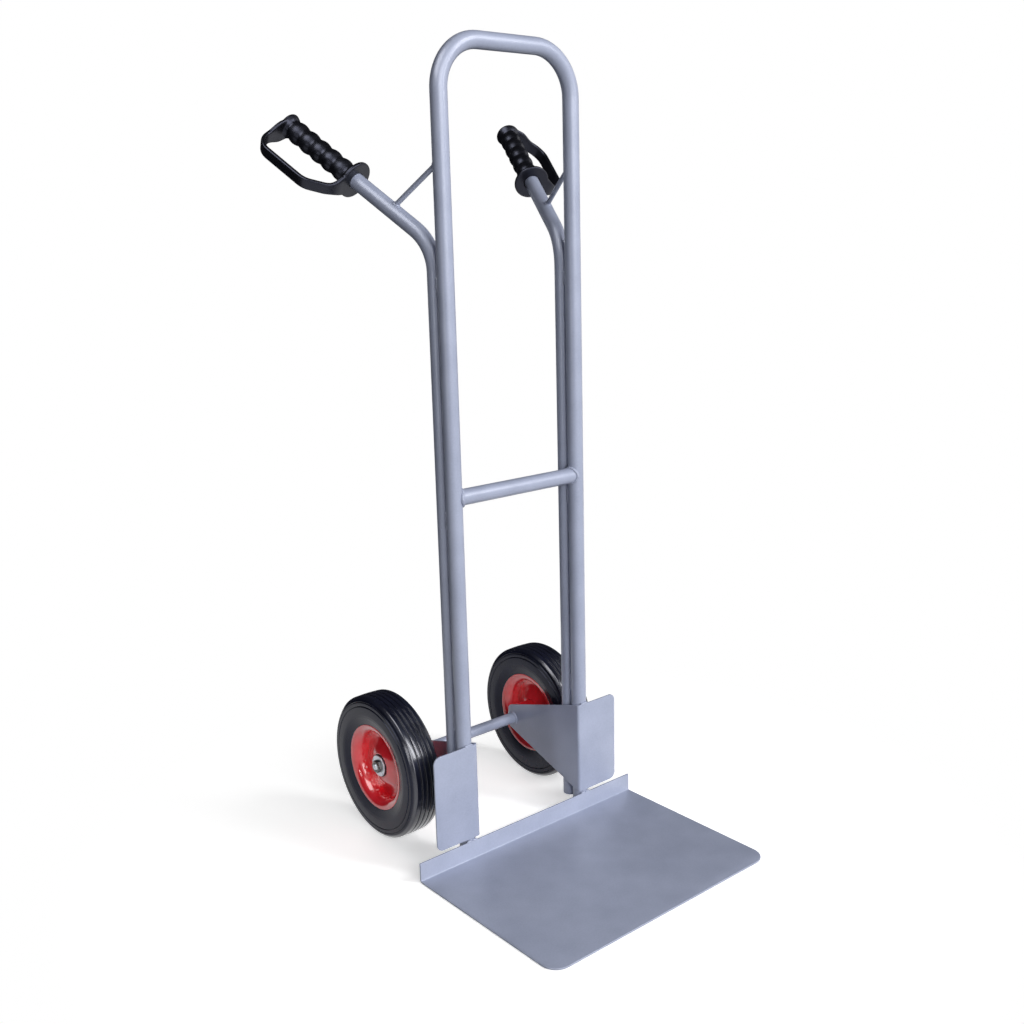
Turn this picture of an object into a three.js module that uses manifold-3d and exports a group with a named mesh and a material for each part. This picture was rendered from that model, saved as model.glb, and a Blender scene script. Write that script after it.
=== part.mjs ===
// Hand truck: a welded tube frame with a toe plate, two splayed handles with
// knuckle guards, and two solid-tyred wheels on roller bearings.
// Millimetres. +X is the truck's left-to-right axis, -Y is the load side, +Z is up.
// The origin is on the floor, under the middle of the outside box.

import * as THREE from 'three';
import { mergeVertices } from 'three/addons/utils/BufferGeometryUtils.js';
import Module from 'manifold-3d';

const wasm = await Module();
wasm.setup();

// ---------------------------------------------------------------- fits
const SEAT_GAP = 0.3;            // between pieces that touch or are welded
const RUN_GAP = 0.3;             // between pieces that turn against each other

// ---------------------------------------------------------------- frame tubes
const TUBE_DIAMETER = 26;
const TUBE_WALL = 2;
const FRAME_HEIGHT = 1296;
const UPRIGHT_SPACING = 256;     // centre to centre
const LOOP_BEND_RADIUS = 72;
const UPRIGHT_FOOT_HEIGHT = 2;
const CROSSBAR_DIAMETER = 26;
const CROSSBAR_HEIGHT = 611;

// ---------------------------------------------------------------- handles
const HANDLE_DIAMETER = 25;
const HANDLE_WALL = 2;
const HANDLE_FOOT_HEIGHT = 20;
const HANDLE_BEND_HEIGHT = 995;  // where the two straight runs would cross
const HANDLE_BEND_RADIUS = 78;
const HANDLE_REACH = 310;        // from that crossing to the tube's end
const HANDLE_RISE = THREE.MathUtils.degToRad(35.5);
const HANDLE_SPLAY = THREE.MathUtils.degToRad(21);
const STRUT_DIAMETER = 8;
const STRUT_REACH = 91;          // along the handle from the bend's crossing
const STRUT_HEIGHT = 1115;       // where it meets the upright

// ---------------------------------------------------------------- grips
const GRIP_BORE_DEPTH = 143;
const GRIP_END_WALL = 12;
const GRIP_VALLEY_RADIUS = 15;
const GRIP_RIB_HEIGHT = 2.7;
const GRIP_RIB_COUNT = 5;
const GRIP_RIB_PITCH = 24.5;
const GRIP_FIRST_RIB = 30;       // from the flange's face
const GRIP_CAP_RADIUS = 21;
const GRIP_CAP_THICKNESS = 5;
const GRIP_FLANGE_RADIUS = 30;
const GRIP_FLANGE_THICKNESS = 7;
const GUARD_REACH = 76;          // from the grip's axis to the guard's outer face
const GUARD_THICKNESS = 7;
const GUARD_WIDTH = 17;
const GUARD_CORNER_RADIUS = 32;
const GUARD_SLANT = 28;          // height of the run that slants back to the flange
const GUARD_TILT = THREE.MathUtils.degToRad(25);  // below the level, outward

// ---------------------------------------------------------------- sheet metal
const SHEET = 3;
const SHEET_BEND = 2;            // inside radius of a fold
const TOE_WIDTH = 470;
const TOE_DEPTH = 320;
const TOE_CORNER_RADIUS = 28;
const TOE_FLANGE_HEIGHT = 34;
const BRACKET_WIDTH = 88;        // front plate
const BRACKET_FOOT = 40;
const BRACKET_TOP = 203;
const BRACKET_CORNER_RADIUS = 12;
const BRACKET_REAR_RADIUS = 7;
const AXLE_MARGIN_BEHIND = 13;   // side plate, from the axle's centre to its edges
const AXLE_MARGIN_ABOVE = 22;
const AXLE_MARGIN_BELOW = 19;

// ---------------------------------------------------------------- axle and wheels
const AXLE_DIAMETER = 20;
const AXLE_SETBACK = 181;        // behind the toe plate's flange
const STUD_DIAMETER = 12;
const STUD_PROUD = 1.5;
const NUT_FLATS = 19;
const NUT_HEIGHT = 6;
const WASHER_DIAMETER = 37;
const WASHER_THICKNESS = 3;
const HUB_LENGTH = 68;
const HUB_BORE = 40;
const HUB_WALL = 2.2;
const ROLLER_COUNT = 8;
const CAGE_END = 6;              // length of the cage's solid end rings
const TYRE_DIAMETER = 250;
const TYRE_WIDTH = 60;
const TYRE_BULGE_RADIUS = 90;    // where the side wall stands widest
const TYRE_STEP_RADIUS = 108;
const TYRE_SHOULDER = 7;
const TREAD_GROOVES = 4;
const TREAD_GROOVE_WIDTH = 4;
const TREAD_GROOVE_DEPTH = 2.5;
const RIM_SHEET = 2.5;
const RIM_LIP_RADIUS = 74;
const RIM_LIP_INSET = 4;         // lip behind the tyre's side
const RIM_VALLEY_RADIUS = 55.5;
const HUB_INSET = 15.7;          // hub's outer end behind the tyre's side

// ---------------------------------------------------------------- places worked out from the sizes
const tubeRadius = TUBE_DIAMETER / 2;
const handleRadius = HANDLE_DIAMETER / 2;
const axleRadius = AXLE_DIAMETER / 2;
const tyreRadius = TYRE_DIAMETER / 2;
const uprightX = UPRIGHT_SPACING / 2;
const uprightY = SHEET + SEAT_GAP + tubeRadius;
const handleY = uprightY + tubeRadius + SEAT_GAP + handleRadius;
const sidePlateX = uprightX - tubeRadius - SEAT_GAP;   // its outer face
const innerWasherX = sidePlateX + SEAT_GAP;
const hubInnerX = innerWasherX + WASHER_THICKNESS + RUN_GAP;
const hubOuterX = hubInnerX + HUB_LENGTH;
const outerWasherX = hubOuterX + RUN_GAP;
const nutX = outerWasherX + WASHER_THICKNESS + SEAT_GAP;
const studEndX = nutX + NUT_HEIGHT + STUD_PROUD;
const wheelX = hubOuterX + HUB_INSET - TYRE_WIDTH / 2;
const originY = (TOE_DEPTH - AXLE_SETBACK - tyreRadius) / 2;

// ---------------------------------------------------------------- facets
const TUBE_SIDES = 16;
const WHEEL_SIDES = 24;
const RING_SIDES = 16;
const ROD_SIDES = 8;
const BEND_STEP = THREE.MathUtils.degToRad(15);
const OVERRUN = 5;               // how far a cutting tool runs past the work

// ---------------------------------------------------------------- materials
function finish(color, roughness, metalness) {
  return new THREE.MeshStandardMaterial({ color, roughness, metalness });
}
const framePaint = finish('#8e93a8', 0.35, 0.3);
const wheelPaint = finish('#c21a28', 0.3, 0.1);
const rubber = finish('#1b1b1e', 0.5, 0);
const gripPlastic = finish('#17171a', 0.45, 0);
const cagePlastic = finish('#101012', 0.6, 0);
const zincSteel = finish('#b8bcc4', 0.35, 1);
const hardSteel = finish('#c9ccd2', 0.25, 1);

// ---------------------------------------------------------------- solids
// A closed body from a geometry: shared corners merged, slivers dropped, faces outward.
function solid(geometry) {
  const bare = geometry.clone();
  bare.deleteAttribute('normal');
  bare.deleteAttribute('uv');
  const merged = mergeVertices(bare, 1e-4);
  const points = merged.attributes.position.array;
  const corners = merged.index.array;
  const triangles = [];
  const a = new THREE.Vector3();
  const b = new THREE.Vector3();
  const c = new THREE.Vector3();
  let volume = 0;
  for (let i = 0; i < corners.length; i += 3) {
    const [p, q, r] = [corners[i], corners[i + 1], corners[i + 2]];
    if (p === q || q === r || r === p) continue;
    triangles.push(p, q, r);
    a.fromArray(points, 3 * p);
    b.fromArray(points, 3 * q);
    c.fromArray(points, 3 * r);
    volume += a.dot(b.cross(c));
  }
  if (volume < 0) triangles.reverse();
  const mesh = new wasm.Mesh({
    numProp: 3,
    vertProperties: Float32Array.from(points),
    triVerts: Uint32Array.from(triangles),
  });
  return new wasm.Manifold(mesh);
}

function geometryOf(body) {
  const mesh = body.getMesh();
  const geometry = new THREE.BufferGeometry();
  geometry.setAttribute('position', new THREE.BufferAttribute(Float32Array.from(mesh.vertProperties), 3));
  geometry.setIndex(new THREE.BufferAttribute(Uint32Array.from(mesh.triVerts), 1));
  geometry.computeVertexNormals();
  return geometry;
}

const cut = (body, ...tools) => tools.reduce((rest, tool) => rest.subtract(tool), body);
const join = (body, ...others) => others.reduce((sum, other) => sum.add(other), body);

// A straight rod between two points.
function rod(start, end, radius, sides) {
  const along = end.clone().sub(start);
  const geometry = new THREE.CylinderGeometry(radius, radius, along.length(), sides);
  geometry.applyQuaternion(new THREE.Quaternion().setFromUnitVectors(
    new THREE.Vector3(0, 1, 0), along.clone().normalize()));
  const middle = start.clone().add(end).multiplyScalar(0.5);
  return solid(geometry.translate(middle.x, middle.y, middle.z));
}

// A body turned about X from [along X, radius] points.
function turned(profile, sides) {
  const geometry = new THREE.LatheGeometry(profile.map(([x, r]) => new THREE.Vector2(r, x)), sides);
  return solid(geometry.rotateZ(-Math.PI / 2));
}

// A turned ring of rectangular section. The flats of its bore stand at the inner radius, so that
// a rod with the bore's clearance turns freely in it.
function ring(start, end, inner, outer, sides) {
  const bore = inner / Math.cos(Math.PI / sides);
  return turned([[start, bore], [start, outer], [end, outer], [end, bore], [start, bore]], sides);
}

// A closed outline through [x, y, radius] corners, each rounded by an arc of its radius.
function outline(corners) {
  const shape = new THREE.Shape();
  corners.forEach(([x, y, radius = 0], i) => {
    const corner = new THREE.Vector2(x, y);
    if (radius === 0) {
      if (i === 0) shape.moveTo(x, y);
      else shape.lineTo(x, y);
      return;
    }
    const before = corners[(i + corners.length - 1) % corners.length];
    const after = corners[(i + 1) % corners.length];
    const back = new THREE.Vector2(before[0], before[1]).sub(corner).normalize();
    const ahead = new THREE.Vector2(after[0], after[1]).sub(corner).normalize();
    const half = Math.acos(THREE.MathUtils.clamp(back.dot(ahead), -1, 1)) / 2;
    const start = corner.clone().addScaledVector(back, radius / Math.tan(half));
    const inward = back.clone().add(ahead).normalize();
    const centre = corner.clone().addScaledVector(inward, radius / Math.sin(half));
    const end = corner.clone().addScaledVector(ahead, radius / Math.tan(half));
    const [from, to] = [start, end].map((place) => Math.atan2(place.y - centre.y, place.x - centre.x));
    const clockwise = back.cross(ahead) > 0;
    if (i === 0) shape.moveTo(start.x, start.y);
    else shape.lineTo(start.x, start.y);
    shape.absarc(centre.x, centre.y, radius, from, to, clockwise);
  });
  shape.closePath();
  return shape;
}

// An outline given thickness. axes 'XY', 'YZ' and 'XZ' say which plane it lies in;
// it runs from low to high along the third axis.
function slab(shape, axes, low, high, curveSegments = 4) {
  const options = { depth: high - low, bevelEnabled: false, curveSegments };
  const geometry = new THREE.ExtrudeGeometry(shape, options);
  geometry.translate(0, 0, low);
  const [x, y, z] = [new THREE.Vector3(1, 0, 0), new THREE.Vector3(0, 1, 0), new THREE.Vector3(0, 0, 1)];
  const bases = { XY: [x, y, z], YZ: [y, z, x], XZ: [x, z, y] };
  return solid(geometry.applyMatrix4(new THREE.Matrix4().makeBasis(...bases[axes])));
}

// A path through corner points with round bends, met at only as many stations as it needs.
class BentPath extends THREE.Curve {
  constructor(corners, bendRadius) {
    super();
    this.stations = [];
    const station = (point, tangent) => this.stations.push({ point, tangent });
    const heading = (i) => corners[i + 1].clone().sub(corners[i]).normalize();
    station(corners[0], heading(0));
    for (let i = 1; i < corners.length - 1; i += 1) {
      const [into, out] = [heading(i - 1), heading(i)];
      const turn = into.angleTo(out);
      const setback = bendRadius * Math.tan(turn / 2);
      const inward = out.clone().addScaledVector(into, -into.dot(out)).normalize();
      const start = corners[i].clone().addScaledVector(into, -setback);
      const steps = Math.ceil(turn / BEND_STEP);
      for (let k = 0; k <= steps; k += 1) {
        const angle = turn * k / steps;
        station(
          start.clone().addScaledVector(into, bendRadius * Math.sin(angle))
            .addScaledVector(inward, bendRadius * (1 - Math.cos(angle))),
          into.clone().multiplyScalar(Math.cos(angle)).addScaledVector(inward, Math.sin(angle)));
      }
    }
    station(corners[corners.length - 1], heading(corners.length - 2));
  }

  get steps() {
    return this.stations.length - 1;
  }

  getPointAt(u, target = new THREE.Vector3()) {
    return target.copy(this.stations[Math.round(u * this.steps)].point);
  }

  getTangentAt(u, target = new THREE.Vector3()) {
    return target.copy(this.stations[Math.round(u * this.steps)].tangent);
  }
}

// A round tube with open ends along a path.
function bentTube(path, radius, wall) {
  const section = new THREE.Shape();
  section.absarc(0, 0, radius, 0, 2 * Math.PI, false);
  const bore = new THREE.Path();
  bore.absarc(0, 0, radius - wall, 0, 2 * Math.PI, true);
  section.holes.push(bore);
  return solid(new THREE.ExtrudeGeometry(section, {
    steps: path.steps, extrudePath: path, bevelEnabled: false, curveSegments: TUBE_SIDES / 2,
  }));
}

const point = (x, y, z) => new THREE.Vector3(x, y, z);

// ---------------------------------------------------------------- frame
function mainFrameTube() {
  const top = FRAME_HEIGHT - tubeRadius;
  const path = new BentPath([
    point(-uprightX, uprightY, UPRIGHT_FOOT_HEIGHT), point(-uprightX, uprightY, top),
    point(uprightX, uprightY, top), point(uprightX, uprightY, UPRIGHT_FOOT_HEIGHT),
  ], LOOP_BEND_RADIUS);
  return bentTube(path, tubeRadius, TUBE_WALL);
}

// The space an upright takes up, with the gap that a piece welded to it keeps.
function uprightClearance(side) {
  const x = side * uprightX;
  return rod(point(x, uprightY, 0), point(x, uprightY, FRAME_HEIGHT), tubeRadius + SEAT_GAP, TUBE_SIDES);
}

function crossbar() {
  const [left, right] = [-1, 1].map((side) => point(side * uprightX, uprightY, CROSSBAR_HEIGHT));
  const radius = CROSSBAR_DIAMETER / 2;
  const beyond = point(OVERRUN, 0, 0);
  const bore = rod(left.clone().sub(beyond), right.clone().add(beyond), radius - TUBE_WALL, TUBE_SIDES);
  return cut(rod(left, right, radius, TUBE_SIDES), bore, uprightClearance(-1), uprightClearance(1));
}

const handleHeading = (side) => point(
  side * Math.cos(HANDLE_RISE) * Math.sin(HANDLE_SPLAY),
  Math.cos(HANDLE_RISE) * Math.cos(HANDLE_SPLAY),
  Math.sin(HANDLE_RISE));
const alongHandle = (side, distance) => point(side * uprightX, handleY, HANDLE_BEND_HEIGHT)
  .addScaledVector(handleHeading(side), distance);

function handleTube(side) {
  const path = new BentPath([
    point(side * uprightX, handleY, HANDLE_FOOT_HEIGHT), alongHandle(side, 0),
    alongHandle(side, HANDLE_REACH),
  ], HANDLE_BEND_RADIUS);
  return bentTube(path, handleRadius, HANDLE_WALL);
}

function handleStrut(side) {
  const foot = alongHandle(side, STRUT_REACH);
  const head = point(side * uprightX, uprightY, STRUT_HEIGHT);
  const handleClearance = rod(alongHandle(side, 0), alongHandle(side, HANDLE_REACH),
    handleRadius + SEAT_GAP, TUBE_SIDES);
  return cut(rod(foot, head, STRUT_DIAMETER / 2, ROD_SIDES), handleClearance, uprightClearance(side));
}

// The bent bracket of the right side: a front plate across the upright, and a side plate
// that tapers back to the axle.
function wheelBracket() {
  const innerX = sidePlateX - SHEET;
  const rear = AXLE_SETBACK + AXLE_MARGIN_BEHIND;
  const fold = slab(outline([
    [innerX, 0, SHEET + SHEET_BEND], [innerX + BRACKET_WIDTH, 0], [innerX + BRACKET_WIDTH, SHEET],
    [sidePlateX, SHEET, SHEET_BEND], [sidePlateX, rear], [innerX, rear],
  ]), 'XY', BRACKET_FOOT, BRACKET_TOP);
  const front = slab(outline([
    [innerX - OVERRUN, BRACKET_FOOT], [innerX + BRACKET_WIDTH, BRACKET_FOOT, BRACKET_CORNER_RADIUS],
    [innerX + BRACKET_WIDTH, BRACKET_TOP, BRACKET_CORNER_RADIUS], [innerX - OVERRUN, BRACKET_TOP],
  ]), 'XZ', -OVERRUN, SHEET + SHEET_BEND);
  const side = slab(outline([
    [-OVERRUN, BRACKET_FOOT], [SHEET, BRACKET_FOOT],
    [rear, tyreRadius - AXLE_MARGIN_BELOW, BRACKET_REAR_RADIUS],
    [rear, tyreRadius + AXLE_MARGIN_ABOVE, BRACKET_REAR_RADIUS],
    [SHEET, BRACKET_TOP], [-OVERRUN, BRACKET_TOP],
  ]), 'YZ', innerX - OVERRUN, sidePlateX + SHEET_BEND);
  const axleHole = rod(point(innerX - OVERRUN, AXLE_SETBACK, tyreRadius),
    point(sidePlateX + OVERRUN, AXLE_SETBACK, tyreRadius), axleRadius + SEAT_GAP, RING_SIDES);
  return cut(fold.intersect(join(front, side)), axleHole);
}

function toePlate() {
  const half = TOE_WIDTH / 2;
  const fold = slab(outline([
    [-TOE_DEPTH, 0], [SHEET, 0, SHEET + SHEET_BEND], [SHEET, TOE_FLANGE_HEIGHT],
    [0, TOE_FLANGE_HEIGHT], [0, SHEET, SHEET_BEND], [-TOE_DEPTH, SHEET],
  ]), 'YZ', -half, half);
  const blank = slab(outline([
    [-half, SHEET], [-half, -TOE_DEPTH, TOE_CORNER_RADIUS],
    [half, -TOE_DEPTH, TOE_CORNER_RADIUS], [half, SHEET],
  ]), 'XY', -OVERRUN, TOE_FLANGE_HEIGHT + OVERRUN, 6);
  return fold.intersect(blank);
}

function axle() {
  const stud = STUD_DIAMETER / 2;
  const chamfer = 1;
  const half = [[studEndX, 0], [studEndX, stud - chamfer], [studEndX - chamfer, stud], [hubOuterX, stud],
    [hubOuterX, axleRadius]];
  const mirrored = half.map(([x, r]) => [-x, r]);
  return turned([...mirrored, ...half.reverse()], RING_SIDES);
}

// ---------------------------------------------------------------- grip
// Built with its bore along +X from the flange's face, the guard reaching towards +Y.
function grip() {
  const length = GRIP_BORE_DEPTH + GRIP_END_WALL;
  const profile = [[0, 0], [0, GRIP_FLANGE_RADIUS], [GRIP_FLANGE_THICKNESS, GRIP_FLANGE_RADIUS],
    [GRIP_FLANGE_THICKNESS + 6, GRIP_VALLEY_RADIUS]];
  for (let rib = 0; rib < GRIP_RIB_COUNT; rib += 1) {
    const middle = GRIP_FIRST_RIB + rib * GRIP_RIB_PITCH;
    for (const [share, rise] of [[-0.5, 0], [-0.25, 0.8], [0, 1], [0.25, 0.8]]) {
      profile.push([middle + share * GRIP_RIB_PITCH, GRIP_VALLEY_RADIUS + rise * GRIP_RIB_HEIGHT]);
    }
  }
  const lastValley = GRIP_FIRST_RIB + (GRIP_RIB_COUNT - 0.5) * GRIP_RIB_PITCH;
  profile.push([lastValley, GRIP_VALLEY_RADIUS], [length - GRIP_CAP_THICKNESS, GRIP_CAP_RADIUS],
    [length - 1, GRIP_CAP_RADIUS], [length, GRIP_CAP_RADIUS - 2], [length, 0]);

  // The guard is a band in the grip's plane, wide where it meets the flange and the cap.
  const far = length - 2;
  const outside = outline([[0, 0], [0, GUARD_REACH - GUARD_SLANT, GUARD_CORNER_RADIUS],
    [GUARD_SLANT + 10, GUARD_REACH, GUARD_CORNER_RADIUS],
    [far - 4, GUARD_REACH, GUARD_CORNER_RADIUS], [far, 0]]);
  const inset = GUARD_THICKNESS;
  const inside = outline([[inset, -OVERRUN],
    [inset, GUARD_REACH - GUARD_SLANT - inset / 2, GUARD_CORNER_RADIUS - inset],
    [GUARD_SLANT + 12, GUARD_REACH - inset, GUARD_CORNER_RADIUS],
    [far - 4 - inset, GUARD_REACH - inset, GUARD_CORNER_RADIUS - inset], [far - inset, -OVERRUN]]);
  const deep = GRIP_FLANGE_RADIUS;
  const band = cut(slab(outside, 'XY', -deep, deep), slab(inside, 'XY', -deep - OVERRUN, deep + OVERRUN));
  const half = GUARD_WIDTH / 2;
  const waist = slab(outline([[0, -18], [18, -18], [48, -half, 20], [GUARD_REACH + OVERRUN, -half],
    [GUARD_REACH + OVERRUN, half], [48, half, 20], [18, 18], [0, 18],
  ]), 'YZ', -OVERRUN, length + OVERRUN, 2);
  const bore = rod(point(-OVERRUN, 0, 0), point(GRIP_BORE_DEPTH, 0, 0),
    handleRadius + SEAT_GAP, TUBE_SIDES);
  return cut(join(turned(profile, TUBE_SIDES), band.intersect(waist)), bore);
}

// ---------------------------------------------------------------- wheel
// Built round X with the outward side towards +X and the tyre's middle at the origin.
const tyreHalf = TYRE_WIDTH / 2;
const hubOuter = tyreHalf - HUB_INSET;
const hubInner = hubOuter - HUB_LENGTH;
const hubRadius = HUB_BORE / 2 + HUB_WALL;
const rimLip = tyreHalf - RIM_LIP_INSET;
const rimValley = SEAT_GAP / 2 + RIM_SHEET;
const rimFlare = new THREE.QuadraticBezierCurve(
  new THREE.Vector2(rimValley, RIM_VALLEY_RADIUS),
  new THREE.Vector2(rimLip - RIM_SHEET, RIM_VALLEY_RADIUS + RIM_SHEET),
  new THREE.Vector2(rimLip, RIM_LIP_RADIUS));
const FLARE_STEPS = 4;

// The rim's flare, moved from its outer face into the sheet and past it by depth.
function flare(depth) {
  return Array.from({ length: FLARE_STEPS + 1 }, (_, i) => {
    const tangent = rimFlare.getTangent(i / FLARE_STEPS);
    const place = rimFlare.getPoint(i / FLARE_STEPS);
    return [place.x - tangent.y * depth, place.y + tangent.x * depth];
  });
}

function rimHalf() {
  const hole = hubRadius + SEAT_GAP;
  const back = flare(RIM_SHEET);
  back[0] = [SEAT_GAP / 2, RIM_VALLEY_RADIUS + RIM_SHEET / 2];
  const face = [[hubOuter, hole], ...flare(0)];
  return turned([...face, ...back.reverse(), [hubOuter - RIM_SHEET, hole], face[0]], WHEEL_SIDES);
}

function tyre() {
  const seat = flare(RIM_SHEET + SEAT_GAP).slice(1, FLARE_STEPS);
  const lipEdge = RIM_LIP_RADIUS + RIM_SHEET / 4 + SEAT_GAP;
  const crown = tyreRadius;
  const side = [...seat, [rimLip - RIM_SHEET - SEAT_GAP, lipEdge], [rimLip, lipEdge],
    [tyreHalf, TYRE_BULGE_RADIUS], [tyreHalf, TYRE_STEP_RADIUS],
    [tyreHalf - TYRE_SHOULDER / 4, crown - TYRE_SHOULDER], [tyreHalf - TYRE_SHOULDER, crown - 1]];
  const tread = [];
  const ribSpan = (TYRE_WIDTH - 2 * TYRE_SHOULDER) / (TREAD_GROOVES + 1);
  for (let groove = 0; groove < TREAD_GROOVES; groove += 1) {
    const middle = tyreHalf - TYRE_SHOULDER - (groove + 1) * ribSpan;
    tread.push([middle + TREAD_GROOVE_WIDTH / 2, crown], [middle, crown - TREAD_GROOVE_DEPTH],
      [middle - TREAD_GROOVE_WIDTH / 2, crown]);
  }
  const mirrored = side.map(([x, r]) => [-x, r]).reverse();
  return turned([...side, ...tread, ...mirrored, side[0]], WHEEL_SIDES);
}

const rollerRadius = (HUB_BORE / 2 - axleRadius) / 2 - RUN_GAP;
const pitchRadius = (HUB_BORE / 2 + axleRadius) / 2;
const pocketHalf = HUB_LENGTH / 2 - CAGE_END;
const hubMiddle = (hubInner + hubOuter) / 2;

function rollerAt(number, radius, half) {
  const angle = 2 * Math.PI * number / ROLLER_COUNT;
  const [y, z] = [pitchRadius * Math.cos(angle), pitchRadius * Math.sin(angle)];
  return rod(point(hubMiddle - half, y, z), point(hubMiddle + half, y, z), radius, ROD_SIDES);
}

function rollerCage() {
  const pockets = Array.from({ length: ROLLER_COUNT },
    (_, i) => rollerAt(i, rollerRadius + RUN_GAP, pocketHalf));
  const sleeve = ring(hubInner, hubOuter, axleRadius + RUN_GAP, HUB_BORE / 2 - RUN_GAP, RING_SIDES);
  return cut(sleeve, ...pockets);
}

function hexNut() {
  const corner = NUT_FLATS / Math.sqrt(3);
  const geometry = new THREE.CylinderGeometry(corner, corner, NUT_HEIGHT, 6);
  const middle = nutX + NUT_HEIGHT / 2;
  const hex = solid(geometry.rotateZ(Math.PI / 2).translate(middle, 0, 0));
  return cut(hex, rod(point(nutX - OVERRUN, 0, 0), point(nutX + NUT_HEIGHT + OVERRUN, 0, 0),
    STUD_DIAMETER / 2 + SEAT_GAP, RING_SIDES));
}

// ---------------------------------------------------------------- assembly
const handTruck = new THREE.Group();
handTruck.position.y = originY;

function place(parent, name, body, material) {
  const mesh = new THREE.Mesh(geometryOf(body), material);
  mesh.name = name;
  parent.add(mesh);
  return mesh;
}

place(handTruck, 'main_frame_tube', mainFrameTube(), framePaint);
place(handTruck, 'crossbar', crossbar(), framePaint);
place(handTruck, 'toe_plate', toePlate(), framePaint);

const axleLine = new THREE.Group();
axleLine.position.set(0, AXLE_SETBACK, tyreRadius);
handTruck.add(axleLine);
place(axleLine, 'axle', axle(), framePaint);

for (const [side, word] of [[-1, 'left'], [1, 'right']]) {
  place(handTruck, `handle_tube_${word}`, handleTube(side), framePaint);
  place(handTruck, `handle_strut_${word}`, handleStrut(side), framePaint);

  const bracket = side > 0 ? wheelBracket() : wheelBracket().mirror([1, 0, 0]);
  place(handTruck, `wheel_bracket_${word}`, bracket, framePaint);

  // The grip's own X runs along the handle, and its Y, the guard's side, points outward and down.
  const heading = handleHeading(side);
  const level = point(side * Math.cos(HANDLE_SPLAY), -Math.sin(HANDLE_SPLAY), 0);
  const down = heading.clone().cross(level).multiplyScalar(side).normalize();
  const outward = level.multiplyScalar(Math.cos(GUARD_TILT)).addScaledVector(down, Math.sin(GUARD_TILT));
  const gripMesh = place(handTruck, `grip_${word}`, grip(), gripPlastic);
  gripMesh.quaternion.setFromRotationMatrix(
    new THREE.Matrix4().makeBasis(heading, outward, heading.clone().cross(outward)));
  gripMesh.position.copy(alongHandle(side, HANDLE_REACH + SEAT_GAP - GRIP_BORE_DEPTH));

  // What turns or seats on the axle is built outward along +X and turned round for the left side.
  const end = new THREE.Group();
  end.rotation.z = side > 0 ? 0 : Math.PI;
  axleLine.add(end);
  place(end, `thrust_washer_${word}`, ring(innerWasherX, innerWasherX + WASHER_THICKNESS,
    axleRadius + SEAT_GAP, WASHER_DIAMETER / 2, RING_SIDES), zincSteel);
  place(end, `outer_washer_${word}`, ring(outerWasherX, outerWasherX + WASHER_THICKNESS,
    STUD_DIAMETER / 2 + SEAT_GAP, WASHER_DIAMETER / 2, RING_SIDES), zincSteel);
  place(end, `axle_nut_${word}`, hexNut(), zincSteel);

  const wheel = new THREE.Group();
  wheel.position.x = wheelX;
  end.add(wheel);
  place(wheel, `tyre_${word}`, tyre(), rubber);
  place(wheel, `rim_outer_${word}`, rimHalf(), wheelPaint);
  const hubTube = ring(hubInner, hubOuter, HUB_BORE / 2, hubRadius, RING_SIDES);
  place(wheel, `hub_tube_${word}`, hubTube, wheelPaint);
  place(wheel, `roller_cage_${word}`, rollerCage(), cagePlastic);
  for (let i = 0; i < ROLLER_COUNT; i += 1) {
    place(wheel, `roller_${word}_${i + 1}`, rollerAt(i, rollerRadius, pocketHalf - RUN_GAP), hardSteel);
  }
  const innerRim = rimHalf().mirror([1, 0, 0]);
  place(wheel, `rim_inner_${word}`, innerRim, wheelPaint);
}

export default handTruck;
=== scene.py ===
"""A hand truck, dressed: its tubes, sheet metal, welds, grips and wheels, and its studio.

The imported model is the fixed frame. Each piece built here stands for a CAD node, at the size
and place that the frame gives, with the rounded edges, welds and mouldings of the real truck.
Lengths are in metres, and a value written in millimetres goes through mm().
"""

import logging
import math
import random
from collections.abc import Callable, Iterable, Sequence
from dataclasses import dataclass, field
from enum import Enum

import bmesh
import bpy
from mathutils import Matrix, Vector


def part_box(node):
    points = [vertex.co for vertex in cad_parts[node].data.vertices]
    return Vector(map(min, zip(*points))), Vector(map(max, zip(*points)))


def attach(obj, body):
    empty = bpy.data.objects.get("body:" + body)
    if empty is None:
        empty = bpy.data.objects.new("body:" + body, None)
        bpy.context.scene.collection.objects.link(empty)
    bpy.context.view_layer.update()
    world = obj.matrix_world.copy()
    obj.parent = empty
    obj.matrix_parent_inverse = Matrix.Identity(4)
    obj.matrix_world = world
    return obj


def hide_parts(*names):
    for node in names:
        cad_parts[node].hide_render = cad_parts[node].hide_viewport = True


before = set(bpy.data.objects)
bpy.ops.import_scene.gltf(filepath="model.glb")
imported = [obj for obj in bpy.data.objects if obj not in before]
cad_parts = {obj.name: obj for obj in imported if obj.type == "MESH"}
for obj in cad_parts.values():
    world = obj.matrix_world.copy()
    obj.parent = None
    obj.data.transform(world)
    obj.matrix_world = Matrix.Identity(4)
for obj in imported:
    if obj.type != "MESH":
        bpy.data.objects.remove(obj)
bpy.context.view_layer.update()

log = logging.getLogger("hand_truck")

X, Y, Z = Vector((1, 0, 0)), Vector((0, 1, 0)), Vector((0, 0, 1))
Place = tuple[float, float, float]


# ---------------------------------------------------------------- small helpers
def mm(value: float) -> float:
    """Turns millimetres into metres."""
    return value / 1000


def linear(colour: str) -> tuple[float, float, float, float]:
    """Turns an sRGB hex colour into linear light.

    Args:
        colour: Six hex digits after a hash.

    Returns:
        Red, green, blue and an alpha of one.
    """
    parts = [int(colour[i : i + 2], 16) / 255 for i in (1, 3, 5)]
    red, green, blue = (p / 12.92 if p <= 0.04045 else ((p + 0.055) / 1.055) ** 2.4 for p in parts)
    return red, green, blue, 1.0


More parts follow.
